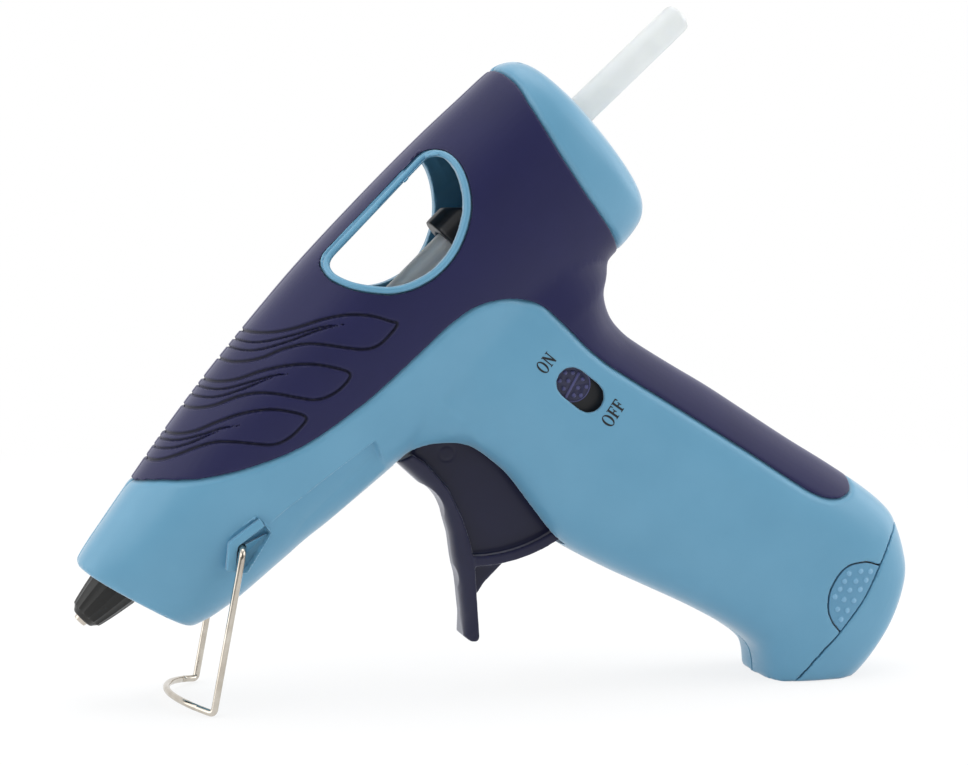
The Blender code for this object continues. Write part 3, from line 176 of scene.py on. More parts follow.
# The panel's depth and edge, and where it begins to fade towards the underside and the stand's boss
panel_depth, panel_edge = 1.6, 0.5
panel_low, low_fade = -24.5, 4
panel_left, left_fade = 45, 8
# The shallow bed that the window's bead lies in
bead_bed_depth, bead_bed_half = 0.5, 1.5
# Where the root's filling ends on the barrel
root_end = ((96.2, -21.5), (93.5, -27))
# Well outside the casing, where a ray to its surface starts
outside_limit = 60


def at(along, across, up):
    """A place from millimetres along, across and square to the barrel."""
    return barrel_frame @ Vector((along * mm, across * mm, up * mm))


def finish_with(piece, modifier, kind, **settings):
    """Adds a modifier and applies it."""
    step = piece.modifiers.new(modifier, kind)
    for name, value in settings.items():
        setattr(step, name, value)
    bpy.context.view_layer.objects.active = piece
    bpy.ops.object.modifier_apply(modifier=step.name)
    return piece


def smoothed(piece, times, **settings):
    return finish_with(piece, "soft edges", "SMOOTH", factor=0.5, iterations=times, **settings)


def alone(piece):
    """Selects one object only, as the active one."""
    bpy.ops.object.select_all(action="DESELECT")
    piece.select_set(True)
    bpy.context.view_layer.objects.active = piece


def pick(piece, wanted):
    """Selects the points whose place is wanted, and the edges and faces that lie all among them."""
    picked = [wanted(vertex.co) for vertex in piece.data.vertices]
    for vertex, on in zip(piece.data.vertices, picked):
        vertex.select = on
    for parts in (piece.data.edges, piece.data.polygons):
        for part in parts:
            part.select = all(picked[corner] for corner in part.vertices)


def applied():
    """The active object, with its place, turn and scale taken into its mesh."""
    bpy.ops.object.transform_apply(location=True, rotation=True, scale=True)
    return bpy.context.object


def carve(piece, name, tool, operation="DIFFERENCE", **more):
    """Cuts, crops or joins a piece with a tool, which is then gone."""
    finish_with(piece, name, "BOOLEAN", object=tool, operation=operation, solver="EXACT", **more)
    bpy.data.objects.remove(tool)


def eased(rows):
    """The rows with a smooth run of further rows between each two."""
    padded = np.vstack((2 * rows[0] - rows[1], rows, 2 * rows[-1] - rows[-2]))
    smooth = []
    for a, b, c, d in zip(padded, padded[1:], padded[2:], padded[3:]):
        for step in range(rings_between):
            t = step / rings_between
            bend = (2 * a - 5 * b + 4 * c - d) * t**2 + (3 * b - a - 3 * c + d) * t**3
            smooth.append(b + ((c - a) * t + bend) / 2)
    return smooth + [rows[-1]]


def squarish(squareness):
    """Cosines and sines of a ring, drawn out towards the corners."""
    angle = np.linspace(0, math.tau, ring_points, endpoint=False)
    power = 2 / squareness
    turn = [np.copysign(np.abs(wave) ** power, wave) for wave in (np.cos(angle), np.sin(angle))]
    return zip(*turn)


def skinned(name, rings):
    """A closed mesh over rings of equally many points."""
    count = len(rings[0])
    places = [place for ring in rings for place in ring]
    last = len(places) - count
    faces = [tuple(range(count)), tuple(range(last, last + count))]
    for low in range(0, last, count):
        for step in range(count):
            after = (step + 1) % count
            faces.append((low + step, low + after, low + count + after, low + count + step))
    mesh = bpy.data.meshes.new(name)
    mesh.from_pydata(places, [], faces)
    piece = placed(name, mesh)
    work = bmesh.new()
    work.from_mesh(mesh)
    bmesh.ops.recalc_face_normals(work, faces=work.faces)
    work.to_mesh(mesh)
    work.free()
    return piece


def tree_of(piece):
    return BVHTree.FromPolygons(
        [vertex.co for vertex in piece.data.vertices], [face.vertices for face in piece.data.polygons]
    )


def barrel_form(name, sections):
    rings = []
    for along, top, bottom, half_width, slant in eased(sections):
        middle, half = (top + bottom) / 2, (top - bottom) / 2
        rings.append([
            at(along + slant * (middle + half * up), half_width * side, middle + half * up)
            for up, side in squarish(barrel_squareness)
        ])
    return skinned(name, rings)


def grip_form():
    rings = []
    for up, front, back, half_width in eased(grip_sections):
        middle, half = (front + back) / 2, (back - front) / 2
        rings.append([
            at(middle + half * along, half_width * side, up) for along, side in squarish(grip_squareness)
        ])
    grip = skinned("grip form", rings)
    bpy.ops.mesh.primitive_cube_add(
        size=1, location=(0, 0, 0.2), scale=(0.6, 2 * heel_half_width * mm, 0.4)
    )
    heel = applied()
    for edge in heel.data.edges:
        ends = [heel.data.vertices[corner].co for corner in edge.vertices]
        edge.select = all(end.z < mm for end in ends) and ends[0].y * ends[1].y > 0
    for face in heel.data.polygons:
        face.select = False
    bpy.ops.object.mode_set(mode="EDIT")
    bpy.ops.mesh.select_mode(type="EDGE")
    bpy.ops.mesh.bevel(offset=heel_round * mm, segments=8)
    bpy.ops.mesh.select_mode(type="VERT")
    bpy.ops.object.mode_set(mode="OBJECT")
    carve(grip, "heel", heel, "INTERSECT")
    return grip


def joined(piece, *others):
    alone(piece)
    for other in others:
        other.select_set(True)
    bpy.ops.object.join()
    return piece


barrel, grip = barrel_form("barrel form", barrel_sections), grip_form()
barrel_tree, grip_tree = tree_of(barrel), tree_of(grip)
joined(barrel, grip, barrel_form("root form", root_sections))
finish_with(barrel, "one form", "REMESH", mode="VOXEL", voxel_size=form_faces * mm)
meeting = barrel.vertex_groups.new(name="meeting")
meeting_width = 7 * mm
meets = np.zeros(len(barrel.data.vertices))
for vertex in barrel.data.vertices:
    away = max(
        tree.find_nearest(vertex.co, 2 * meeting_width)[3] or 1 for tree in (barrel_tree, grip_tree)
    )
    meets[vertex.index] = max(0, 1 - away / meeting_width)
    if meets[vertex.index] > 0:
        meeting.add([vertex.index], meets[vertex.index], "REPLACE")
smoothed(barrel, 30, vertex_group="meeting")
casing_form = tree_of(barrel)
form_meets = [max(meets[corner] for corner in face.vertices) for face in barrel.data.polygons]
bpy.data.objects.remove(barrel)


def copied(name, node):
    """A merged copy of a CAD solid."""
    piece = nodes[node].copy()
    piece.data = nodes[node].data.copy()
    piece.name = piece.data.name = name
    piece.parent = None
    for mark in list(piece.keys()):
        del piece[mark]
    bpy.context.scene.collection.objects.link(piece)
    work = bmesh.new()
    work.from_mesh(piece.data)
    bmesh.ops.remove_doubles(work, verts=work.verts, dist=0.001 * mm)
    work.to_mesh(piece.data)
    work.free()
    return piece


def even_faces(piece, size):
    """Skins the piece over with small even faces of a size in millimetres."""
    coarse = 1
    return finish_with(piece, "even faces", "REMESH", mode="VOXEL", voxel_size=size * mm * coarse)


def places_of(piece):
    places = np.empty(len(piece.data.vertices) * 3)
    piece.data.vertices.foreach_get("co", places)
    return places.reshape(-1, 3)


def put_places(piece, places):
    piece.data.vertices.foreach_set("co", places.ravel())
    piece.data.update()


def drawn(piece):
    """Each point's place in the side view, along and up, and how far across it lies, in millimetres."""
    turn = np.array(barrel_frame.inverted())
    local = (places_of(piece) @ turn[:3, :3].T + turn[:3, 3]) / mm
    return local[:, [0, 2]], local[:, 1]


def settled(piece):
    """Draws the outside on to the true form, and returns which points lie there and which way is out."""
    places = places_of(piece)
    points, _ = drawn(piece)
    nose = (points[:, 0] < nose_end) & (points[:, 1] < nose_top)
    root = (np.abs(points[:, 0] - root_middle) < root_half) & (points[:, 1] < root_top)
    reach = np.where(nose | root, far_reach, near_reach) * mm
    own = np.empty(len(places) * 3)
    piece.data.vertex_normals.foreach_get("vector", own)
    own = own.reshape(-1, 3)
    outside = np.zeros(len(places), bool)
    outward = own.copy()
    for index, place in enumerate(places):
        spot, normal, face, away = casing_form.find_nearest(place, far_reach * mm)
        if spot is None or normal.dot(own[index]) < (root_facing if root[index] else facing):
            continue
        if away < reach[index] or (form_meets[face] > 0 and away < mm):
            places[index] = spot
            outward[index] = normal
            outside[index] = True
    put_places(piece, places)
    return outside, outward


def reach_of(points, outline, closed=True):
    """The distance of each side-view point from a line of points."""
    line = np.array(outline, float)
    ends = np.vstack((line[1:], line[:1])) if closed else line[1:]
    nearest = np.full(len(points), 1e9)
    for start, end in zip(line, ends):
        run = end - start
        share = np.clip((points - start) @ run / (run @ run), 0, 1)
        gap = points - start - share[:, None] * run
        nearest = np.minimum(nearest, np.hypot(*gap.T))
    return nearest


def eased_over(piece, outline, onto=None, closed=True, width=4.5):
    """Bends a piece so that an outline's straight runs become curves, with what lies beside them."""
    lines = [np.array(line, float) for line in (outline, outline if onto is None else onto)]
    for index, line in enumerate(lines):
        if closed:
            lines[index] = np.vstack((line[-1:], line, line[:2]))
        else:
            lines[index] = np.vstack((2 * line[:1] - line[1:2], line, 2 * line[-1:] - line[-2:-1]))
    start_line, end_line = lines
    points, _ = drawn(piece)
    nearest = np.full(len(points), width)
    shift = np.zeros_like(points)
    for step in range(1, len(start_line) - 2):
        start, run = start_line[step], start_line[step + 1] - start_line[step]
        a, b, c, d = end_line[step - 1:step + 3]
        t = np.clip((points - start) @ run / (run @ run), 0, 1)[:, None]
        gap = np.hypot(*(points - start - t * run).T)
        curve = b + ((c - a) * t + (2 * a - 5 * b + 4 * c - d) * t**2 + (3 * b - a - 3 * c + d) * t**3) / 2
        bend = curve - start - t * run
        if onto is None:
            square = np.array((-run[1], run[0])) / np.hypot(*run)
            bend = (bend @ square)[:, None] * square
        closer = gap < nearest
        nearest[closer] = gap[closer]
        shift[closer] = bend[closer]
    shift *= (1 - (nearest / width) ** 2)[:, None]
    turn = np.array(barrel_frame)
    put_places(piece, places_of(piece) + (shift[:, :1] * turn[:3, 0] + shift[:, 1:] * turn[:3, 2]) * mm)


def softened(piece, outline, width, times, closed=True):
    """Rounds the edges that lie along an outline."""
    points, _ = drawn(piece)
    share = np.clip(1.5 - reach_of(points, outline, closed) / width, 0, 1)
    near = piece.vertex_groups.new(name="near")
    for index in np.flatnonzero(share):
        near.add([int(index)], share[index], "REPLACE")
    smoothed(piece, times, vertex_group="near")


def tube(name, path, radius, closed):
    """A round tube along a path of places in metres."""
    curve = bpy.data.curves.new(name, "CURVE")
    curve.dimensions = "3D"
    curve.bevel_depth = radius * mm
    curve.bevel_resolution = 5
    curve.use_fill_caps = True
    spline = curve.splines.new("POLY")
    spline.use_cyclic_u = closed
    spline.points.add(len(path) - 1)
    for point, place in zip(spline.points, path):
        point.co = (*place, 1)
    alone(placed(name, curve))
    bpy.ops.object.convert(target="MESH")
    return bpy.context.object


def window_line(side, outline):
    """The window's outline on one side; the right one is a little taller."""
    line = np.array(outline)
    if side > 0:
        line[:, 1] = line[:, 1].max() + (line[:, 1] - line[:, 1].max()) * far_window_taller
    return line


def eased_sides(piece, side):
    """Bends the skin's outline and the window's into their true curves."""
    eased_over(piece, skin_outline)
    eased_over(piece, window_line(side, window_opening), onto=window_line(side, window_shape))


def surface_at(side, along, up):
    """The casing form's surface on one side at a side-view point, and which way is out."""
    start, end = at(along, outside_limit * side, up), at(along, 0, up)
    return casing_form.ray_cast(start, end - start)[:2]


def window_bead(side):
    """The round bead that frames the window, half sunk in the casing's surface."""
    line = window_line(side, window_shape)
    smooth = np.array(eased(np.vstack((line[-1:], line, line[:2]))))
    smooth = smooth[rings_between:(len(line) + 1) * rings_between]
    run = np.roll(smooth, -1, 0) - np.roll(smooth, 1, 0)
    outward = np.stack((-run[:, 1], run[:, 0]), 1) / np.hypot(*run.T)[:, None]
    path = []
    for along, up in smooth + bead_out * outward:
        spot, normal = surface_at(side, along, up)
        path.append(spot - normal * bead_sunk * mm)
    path = np.array(path)
    for _ in range(8):
        path = (np.roll(path, 1, 0) + 2 * path + np.roll(path, -1, 0)) / 4
    return tube("window bead", path, bead_radius, True)


def root_filling(side):
    """The thick part of the casing that arches over the trigger's web, on one side of the slot."""
    filling = barrel_form("root filling", root_sections)
    along, across, up = filling_middle
    bpy.ops.mesh.primitive_cube_add(
        size=1, location=at(along, side * across, up), rotation=(0, -barrel_angle, 0),
        scale=[length * mm for length in filling_room],
    )
    carve(filling, "room", applied(), "INTERSECT")
    return filling


def boss_plate(side):
    """The raised band round the wire's hole, and the hollow that slopes away from it."""
    band = skinned("boss plate", [
        [at(along, side * across, up) for along, up in boss_band] for across in (boss_foot, boss_face)
    ])
    hollow = skinned("hollow", [
        [at(along, side * boss_foot, up) for along, up, _ in hollow_rim],
        [at(along, side * across, up) for along, up, across in hollow_rim],
        [at(along, side * across, up) for along, up, across in hollow_floor],
    ])
    finish_with(band, "soft edges", "BEVEL", width=0.3 * mm, segments=3, limit_method="ANGLE")
    joined(band, hollow)
    bpy.ops.mesh.primitive_cylinder_add(
        vertices=48, radius=wire_hole * mm, depth=12 * mm, rotation=(math.radians(90), 0, 0),
        location=at(wire_pivot[0], side * boss_face, wire_pivot[1]),
    )
    carve(band, "hole", applied(), use_self=True)
    return band


def within(points, outline):
    """True where a side-view point lies inside the outline."""
    line = np.array(outline, float)
    inside = np.zeros(len(points), bool)
    for (x1, y1), (x2, y2) in zip(line, np.vstack((line[1:], line[:1]))):
        crossing = (y1 > points[:, 1]) != (y2 > points[:, 1])
        if y1 != y2:
            inside ^= crossing & (points[:, 0] < (x2 - x1) * (points[:, 1] - y1) / (y2 - y1) + x1)
    return inside


def press(piece, outside, outward, depth):
    """Sinks the outside by a depth in millimetres, one value for each point."""
    places = places_of(piece)
    places[outside] -= outward[outside] * (depth[outside] * mm)[:, None]
    put_places(piece, places)


def shade(piece, angle=40):
    alone(piece)
    bpy.ops.object.shade_smooth_by_angle(angle=math.radians(angle))


def thinned(piece, most=190000):
    """Melts the smallest faces away down to a number of triangles."""
    triangles = sum(len(face.vertices) - 2 for face in piece.data.polygons)
    if triangles > most:
        finish_with(piece, "fewer faces", "DECIMATE", ratio=most / triangles)
    return piece


def light(colour):
    """An sRGB hex colour as linear light."""
    parts = [int(colour[place:place + 2], 16) / 255 for place in (0, 2, 4)]
    return tuple(((p + 0.055) / 1.055) ** 2.4 if p > 0.04045 else p / 12.92 for p in parts) + (1,)


def add_node(tree, kind, inputs=None, **settings):
    """Adds a node, sets it, and links or fills its sockets."""
    node = tree.nodes.new(kind)
    for name, value in settings.items():
        setattr(node, name, value)
    for socket, value in (inputs or {}).items():
        if isinstance(value, bpy.types.NodeSocket):
            tree.links.new(value, node.inputs[socket])
        else:
            node.inputs[socket].default_value = value
    return node


def material(name):
    """An empty material, its node tree and its object coordinates."""
    coat = bpy.data.materials.new(name)
    coat.use_nodes = True
    tree = coat.node_tree
    tree.nodes.clear()
    return coat, tree, add_node(tree, "ShaderNodeTexCoord").outputs["Object"]


def clouded(tree, spot, size, dark, pale):
    """A colour that drifts between two, over clouds of a size in millimetres."""
    clouds = add_node(tree, "ShaderNodeTexNoise", {"Vector": spot, "Scale": 1 / (size * mm), "Detail": 3.0})
    return add_node(tree, "ShaderNodeMix", {
        "Factor": clouds.outputs[0], 6: light(dark), 7: light(pale),
    }, data_type="RGBA").outputs[2]


def grained(tree, spot, size, least_rough, most_rough, height):
    """The roughness and the bumps of a fine grain, whose size and height are in millimetres."""
    grains = add_node(tree, "ShaderNodeTexNoise", {"Vector": spot, "Scale": 1 / (size * mm), "Detail": 2.0})
    shine = add_node(tree, "ShaderNodeMapRange", {
        "Value": grains.outputs[0], "From Min": 0.3, "From Max": 0.7,
        "To Min": least_rough, "To Max": most_rough,
    })
    bump = add_node(tree, "ShaderNodeBump", {"Height": grains.outputs[0], "Distance": height * mm})
    return {"Roughness": shine.outputs[0], "Normal": bump.outputs[0]}


def coated(tree, surface):
    """Ends a material in a principled shader with these sockets."""
    shader = add_node(tree, "ShaderNodeBsdfPrincipled", surface)
    add_node(tree, "ShaderNodeOutputMaterial", {"Surface": shader.outputs[0]})


def moulded(name, dark, pale, rough, grain, height, cloud=14.0, **more):
    """Moulded plastic or rubber: a faint cloud in the colour and the mould's spark-eroded grain."""
    coat, tree, spot = material(name)
    coated(tree, {
        "Base Color": clouded(tree, spot, cloud, dark, pale),
        **grained(tree, spot, grain, rough - 0.05, rough + 0.05, height),
        **{key.replace("_", " "): value for key, value in more.items()},
    })
    return coat


def dress(piece, coat, body, slot, *stands_for):
    """Gives a new piece its material and its body, and hides the solids that it stands for. The slot is not
    used.
    """
    piece.data.materials.clear()
    piece.data.materials.append(coat)
    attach(piece, body)
    if stands_for:
        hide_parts(*stands_for)
    return piece


def coat_nodes(coat, *names):
    """Gives CAD solids that stay as they are their better material."""
    for name in names:
        for place in nodes[name].material_slots:
            place.material = coat


# ABS from a fine spark-eroded mould: satin, so broad soft highlights and pale grazing edges
light_blue_abs = moulded(
    "satin light blue ABS", "5890AE", "649BB9", 0.4, 0.30, 0.004,
    Sheen_Weight=0.5, Sheen_Roughness=0.32,
)

for side, across in (("left", -1), ("right", 1)):
    shell = even_faces(joined(copied(f"casing_{side}", f"shell_{side}"), root_filling(across)), shell_faces)
    eased_sides(shell, across)
    eased_over(shell, cap_seam, closed=False)
    eased_over(shell, pad_arc, closed=False)
    outside, outward = settled(shell)
    points, deep = drawn(shell)
    sunk = within(points, barrel_panel) * np.clip((points[:, 1] - panel_low) / low_fade, 0, 1)
    sunk *= np.clip((points[:, 0] - panel_left) / left_fade, 0, 1)
    depth = panel_depth * np.clip(reach_of(points, barrel_panel) / panel_edge, 0, 1) * sunk
    depth += bead_bed_depth * (reach_of(points, window_line(across, window_shape)) < bead_bed_half)
    press(shell, outside, outward, depth)
    places = places_of(shell)
    for index in np.flatnonzero(within(points, stand_boss) & (deep * across > boss_foot + 1)):
        surface = surface_at(across, *points[index])[0].y
        if (places[index, 1] - surface) * across > -0.4 * mm:
            places[index, 1] = surface
    put_places(shell, places)
    softened(shell, skin_outline, 0.8, 6)
    softened(shell, window_line(across, window_shape), 1.6, 12)
    softened(shell, root_end, 2.0, 24, closed=False)
    smoothed(shell, 2)
    joined(thinned(shell, most_shell_triangles), window_bead(across), boss_plate(across))
    shade(shell)
    dress(shell, light_blue_abs, "housing", "blue_plastic", f"shell_{side}")


# Soft grip skins
# A navy thermoplastic rubber moulded over the barrel and down the back of the grip, with a soft matt
# bloom. Three leaf shapes and the lines inside them are pressed into it for the thumb and fingers.

leaves = (
    (
        ((71.5, 26), (73.2, 22.5), (75.4, 19.5), (78.6, 16.6), (82.8, 14), (88.2, 11.3), (92.6, 8.3),
         (96.2, 4.4), (98.4, 0.4), (99.1, -1.1), (96.4, -1.6), (92.8, -1.5), (89.9, 0), (87.3, 3),
         (84.1, 7.3), (81.1, 10.5), (76.8, 13), (72.4, 14.7), (68.3, 17.3), (66, 20), (63.6, 26)),
        ((69, 26), (70.6, 22.3), (74, 17.8), (80, 14), (86, 10.8), (90.5, 7.4)),
        ((66.6, 26), (68.3, 22.3), (71.8, 17.4), (78.4, 13.6), (85.2, 10.6), (89.7, 7.9)),
    ),
    (
        ((57, 24), (58.8, 20.9), (61.4, 17.7), (64.9, 15.2), (69.9, 12.9), (74.5, 10.1), (78.5, 6.7),
         (81.5, 2.8), (83.5, -1.4), (80.2, -2.3), (76.5, -1.6), (73.7, 0.1), (71.6, 2.8), (68.8, 6.9),
         (65.9, 10.1), (62.2, 12.5), (57, 14.7), (53.4, 17.1), (51, 19.9), (48.6, 24)),
        ((54.4, 24), (56.6, 20.9), (60.6, 16.2), (66.6, 12.8), (71.4, 10.2), (74.5, 7.7)),
        ((51.9, 24), (54.1, 20.5), (58.2, 16), (64, 13), (68, 11.4), (70.8, 10.1)),
    ),
    (
        ((41.6, 22), (43.7, 18.7), (46.2, 16), (49.9, 13.6), (55.2, 11.6), (60.1, 9.3), (64.5, 6.2),
         (67.6, 2.6), (69.5, -1.4), (66, -2.1), (62.6, -1.7), (59.8, -0.3), (57.2, 2.6), (54.4, 6),
         (51.3, 9), (47.3, 11.1), (42.9, 12.8), (38.9, 14.8), (36.4, 17.7), (34.4, 22)),
        ((39.3, 22), (41.5, 18.6), (45.6, 14.8), (50.6, 12), (54.8, 10), (58, 7.7)),
        ((37.1, 22), (39.2, 18.1), (43.2, 14.6), (47.6, 12.4), (51, 11.2), (53.6, 10.1)),
    ),
)
groove_half, groove_depth, groove_fade = 0.44, 0.6, 5.0
skin_faces = 0.28

# Thermoplastic rubber, moulded: matt, with a pale bloom where it is seen edge on
navy_rubber = moulded(
    "soft navy moulded rubber", "12143F", "18194A", 0.5, 0.22, 0.006, Specular_IOR_Level=0.35,
    Sheen_Weight=0.28, Sheen_Roughness=0.33, Sheen_Tint=(0.78, 0.78, 1.0, 1.0),
)
# Painted shade: the colour darkens towards a near black navy at the bottom of the pressed lines, where
# shade falls in the grooves
tree = navy_rubber.node_tree
shader = tree.nodes["Principled BSDF"]
groove_shade_mark = add_node(tree, "ShaderNodeAttribute", attribute_name="groove_shade")
shaded = add_node(tree, "ShaderNodeMix", {
    "Factor": groove_shade_mark.outputs["Fac"], 6: shader.inputs["Base Color"].links[0].from_socket,
    7: light("080A20"),
}, data_type="RGBA")
tree.links.new(shaded.outputs[2], shader.inputs["Base Color"])


def groove_line(points):
    """How near each side-view point lies to a leaf's lines, from 1 on a line to 0 beside it, fading out
    where an inner line ends."""
    nearness = np.zeros(len(points))
    close = (points[:, 0] < 101) & (points[:, 1] > -4)
    for outline, *inner in leaves:
        for line in (outline, *inner):
            gap = reach_of(points[close], eased(np.array(line)), closed=False) / groove_half
            if line is not outline:
                from_end = np.hypot(*(points[close] - line[-1]).T) / groove_fade
                gap /= 0.05 + 0.65 * np.clip(from_end, 0, 1)
            nearness[close] = np.maximum(nearness[close], np.clip(1 - gap**2, 0, 1))
    return nearness


for side, across in (("left", -1), ("right", 1)):
    skin = even_faces(copied(f"grip_skin_{side}", f"overmould_{side}"), skin_faces)
    eased_sides(skin, across)
    outside, outward = settled(skin)
    points, _ = drawn(skin)
    press(skin, outside, outward, groove_depth * groove_line(points))
    softened(skin, skin_outline, 0.9, 8)
    smoothed(skin, 1)
    thinned(skin)
    # The lines' nearness, stored for the rubber's painted groove shade
    mark = skin.data.attributes.new("groove_shade", "FLOAT", "POINT")
    mark.data.foreach_set("value", groove_line(drawn(skin)[0]))
    shade(skin)
    dress(skin, navy_rubber, "housing", "navy_soft_grip", f"overmould_{side}")


# Nozzle
# A turned brass nozzle, nickel plated, screwed into the melt chamber. Only its short round tip with the
# glue hole shows in front of the boot.

# Distance from the tip and radius of each turned step, in millimetres, from the thread to the glue hole
nozzle_steps = (
    (23, 2.9), (22.7, 3.2), (17, 3.2), (17, 5), (16.8, 5.2), (13.2, 5.2), (13, 5), (13, 4.3),
    (1.4, 1.8), (0.25, 1.58), (0.08, 1.5), (0, 1.38), (0, 0.86), (0.15, 0.75), (4.3, 0.75),
)


def turned(name, steps, sides=64):
    """A solid turned round the barrel's line, from a circle that is extruded and resized step by step."""
    (along, radius), *rest = steps
    bpy.ops.mesh.primitive_circle_add(vertices=sides, radius=radius * mm, fill_type="NGON")
    piece = bpy.context.object
    piece.name = piece.data.name = name
    bpy.ops.object.mode_set(mode="EDIT")
    bpy.ops.mesh.select_all(action="SELECT")
    start = along
    for next_along, next_radius in rest:
        bpy.ops.mesh.extrude_region_move(
            TRANSFORM_OT_translate={"value": (0, 0, (next_along - along) * mm)}
        )
        share = next_radius / radius
        bpy.ops.transform.resize(value=(share, share, 1), center_override=(0, 0, 0))
        along, radius = next_along, next_radius
    bpy.ops.mesh.select_all(action="SELECT")
    bpy.ops.mesh.normals_make_consistent(inside=False)
    bpy.ops.object.mode_set(mode="OBJECT")
    piece.matrix_world = Matrix.Translation(at(start, 0, 0)) @ Matrix.Rotation(
        math.radians(90) - barrel_angle, 4, "Y"
    )
    return applied()


def plated(name, dark, pale, rough, scratch, run, height=0.002):
    """Worked or plated metal: fine lines along a direction, a scratch apart in millimetres, and faint
    handling marks in its colour."""
    coat, tree, spot = material(name)
    lined = add_node(tree, "ShaderNodeMapping", {
        "Vector": spot, "Rotation": (0, barrel_angle, 0), "Scale": run,
    })
    coated(tree, {
        "Base Color": clouded(tree, spot, 4, dark, pale), "Metallic": 1.0,
        **grained(tree, lined.outputs[0], scratch, rough * 0.7, rough * 1.3, height),
    })
    return coat


# Nickel over turned brass: a warm pale silver with fine rings left by the lathe
nickel_brass = plated("nickel plated turned brass", "B9AFA2", "D8D0C6", 0.3, 0.12, (1.0, 0.05, 0.05))

nozzle = turned("glue_nozzle", nozzle_steps)
shade(nozzle, 30)
dress(nozzle, nickel_brass, "housing", "nozzle_metal", "nozzle")


# Nozzle boot
# A heat-proof sleeve moulded in black silicone, pushed over the nozzle so that fingers don't touch hot
# metal. Faint ridges run down it, and its flange is held inside the casing's mouth.

boot_steps = (
    (18.3, 5.7), (18.3, 7), (18.1, 7.2), (17, 7.2), (16.8, 7), (16.8, 5.8), (11.6, 5.8), (9.6, 5.43),
    (7.6, 5.05), (5.6, 4.62), (3.6, 4.14), (2.8, 3.92), (2.45, 3.78), (2.2, 3.6), (1.5, 3), (1.25, 2.85),
    (1, 2.55), (0.9, 2.3), (0.95, 2.05), (1.2, 1.86),
)
boot_ridges = 15
boot_sides = 4 * boot_ridges
ridge_turn = math.radians(-16)
ridge_share, ridge_height = 0.2, 0.22
# The ridges run from the tip's lip to the flange
ridge_inner, ridge_end = 3.7, 16.7

boot = turned("boot", boot_steps, boot_sides)
points, deep = drawn(boot)
turned_by = (np.arctan2(points[:, 1], deep) + ridge_turn) * boot_ridges / math.tau
ridge = np.abs(turned_by % 1 - 0.5) > 0.5 - ridge_share / 2
ridge &= (np.hypot(points[:, 1], deep) > ridge_inner) & (points[:, 0] < ridge_end)
for vertex, on in zip(boot.data.vertices, ridge):
    if on:
        vertex.co += vertex.normal * ridge_height * mm
finish_with(boot, "soft edges", "BEVEL", width=0.12 * mm, segments=2, limit_method="ANGLE")
shade(boot, 24)

# Silicone rubber, moulded: near black, soft, with a dull sheen that greys it where light grazes it
black_silicone = moulded(
    "black silicone rubber", "151515", "1E1E1C", 0.42, 0.25, 0.006, Specular_IOR_Level=0.35,
    Sheen_Weight=0.15, Sheen_Roughness=0.4,
)
dress(boot, black_silicone, "housing", "black_silicone", "nozzle_boot")


# Check valve
# A steel ball on a coil spring inside the nozzle, which keeps melted glue from dripping.

# Hardened steel, ground and polished: bright and grey, with fine round-about lines
spring_steel = plated("drawn spring steel", "8C8E90", "A9ABAD", 0.25, 0.1, (1.0, 0.1, 1.0))
coat_nodes(spring_steel, "check_ball", "check_spring")


# Melt chamber and heater
# A die-cast aluminium tube in which the stick melts, with a ceramic heating block held under it by a
# spring clip.

# Die-cast aluminium, shot-blasted: dull light grey with an even grain
cast_aluminium = plated("die-cast aluminium", "A2A4A5", "B9BBBC", 0.48, 0.35, (1.0, 1.0, 1.0), 0.012)
coat_nodes(cast_aluminium, "melt_chamber")

# Fired steatite: matt, cream, slightly speckled
heater_ceramic = moulded("fired steatite ceramic", "B7AE9C", "CFC8B8", 0.7, 0.2, 0.008, cloud=0.8)
coat_nodes(heater_ceramic, "heater")
coat_nodes(spring_steel, "heater_clip", "sleeve_clip", "jaw_pin", "trigger_pin", "return_spring")


# Stick sleeve
# A red silicone tube that grips the chamber's spigot and keeps melted glue from running back.

# Silicone rubber, moulded: brick red, soft and slightly dusty
red_silicone = moulded("red silicone rubber", "8E3A26", "A04A33", 0.5, 0.3, 0.006, Sheen_Weight=0.2)
coat_nodes(red_silicone, "stick_sleeve")


# Glue stick
# A 7 mm stick of hot-melt glue, extruded and cut with a domed end. Its free end leans a little in the
# guide's clearance.

stick_steps = (
    (40, 2.4), (40.15, 3), (40.5, 3.45), (41, 3.6), (70, 3.6), (100, 3.6), (130, 3.6),
    (158, 3.6), (164, 3.6), (172, 3.6), (182, 3.6), (192, 3.6), (200.6, 3.6), (201.4, 3.48),
    (201.95, 3.12), (202.3, 2.5), (202.46, 1.6), (202.5, 0.7),
)
lean = math.radians(1.5)
lean_from = 163

stick = turned("stick", stick_steps, 48)
pick(stick, lambda place: (barrel_frame.inverted() @ place).x > lean_from * mm)
bpy.ops.object.mode_set(mode="EDIT")
bpy.ops.transform.rotate(value=-lean, orient_axis="Y", center_override=tuple(at(lean_from, 0, 0)))
bpy.ops.object.mode_set(mode="OBJECT")
shade(stick, 50)

# Hot-melt glue, a soft clear plastic: milky, see-through at its edges, waxy smooth
milky_glue, tree, spot = material("milky hot-melt glue")
drawn_marks = add_node(tree, "ShaderNodeTexNoise", {
    "Vector": spot, "Scale": 1 / (0.7 * mm), "Detail": 2.0,
})
bump = add_node(tree, "ShaderNodeBump", {"Height": drawn_marks.outputs[0], "Distance": 0.01 * mm})
coated(tree, {
    "Base Color": clouded(tree, spot, 5, "E6EBEC", "F6F9F9"), "Roughness": 0.34, "IOR": 1.48,
    "Normal": bump.outputs[0], "Subsurface Weight": 0.6, "Subsurface Radius": (1.0, 1.0, 0.9),
    "Subsurface Scale": 3 * mm, "Transmission Weight": 0.5,
})
dress(stick, milky_glue, "glue_stick", "glue", "glue_stick")


# Stick guide
# A flanged bush of black acetal at the back of the barrel, which the stick slides through.

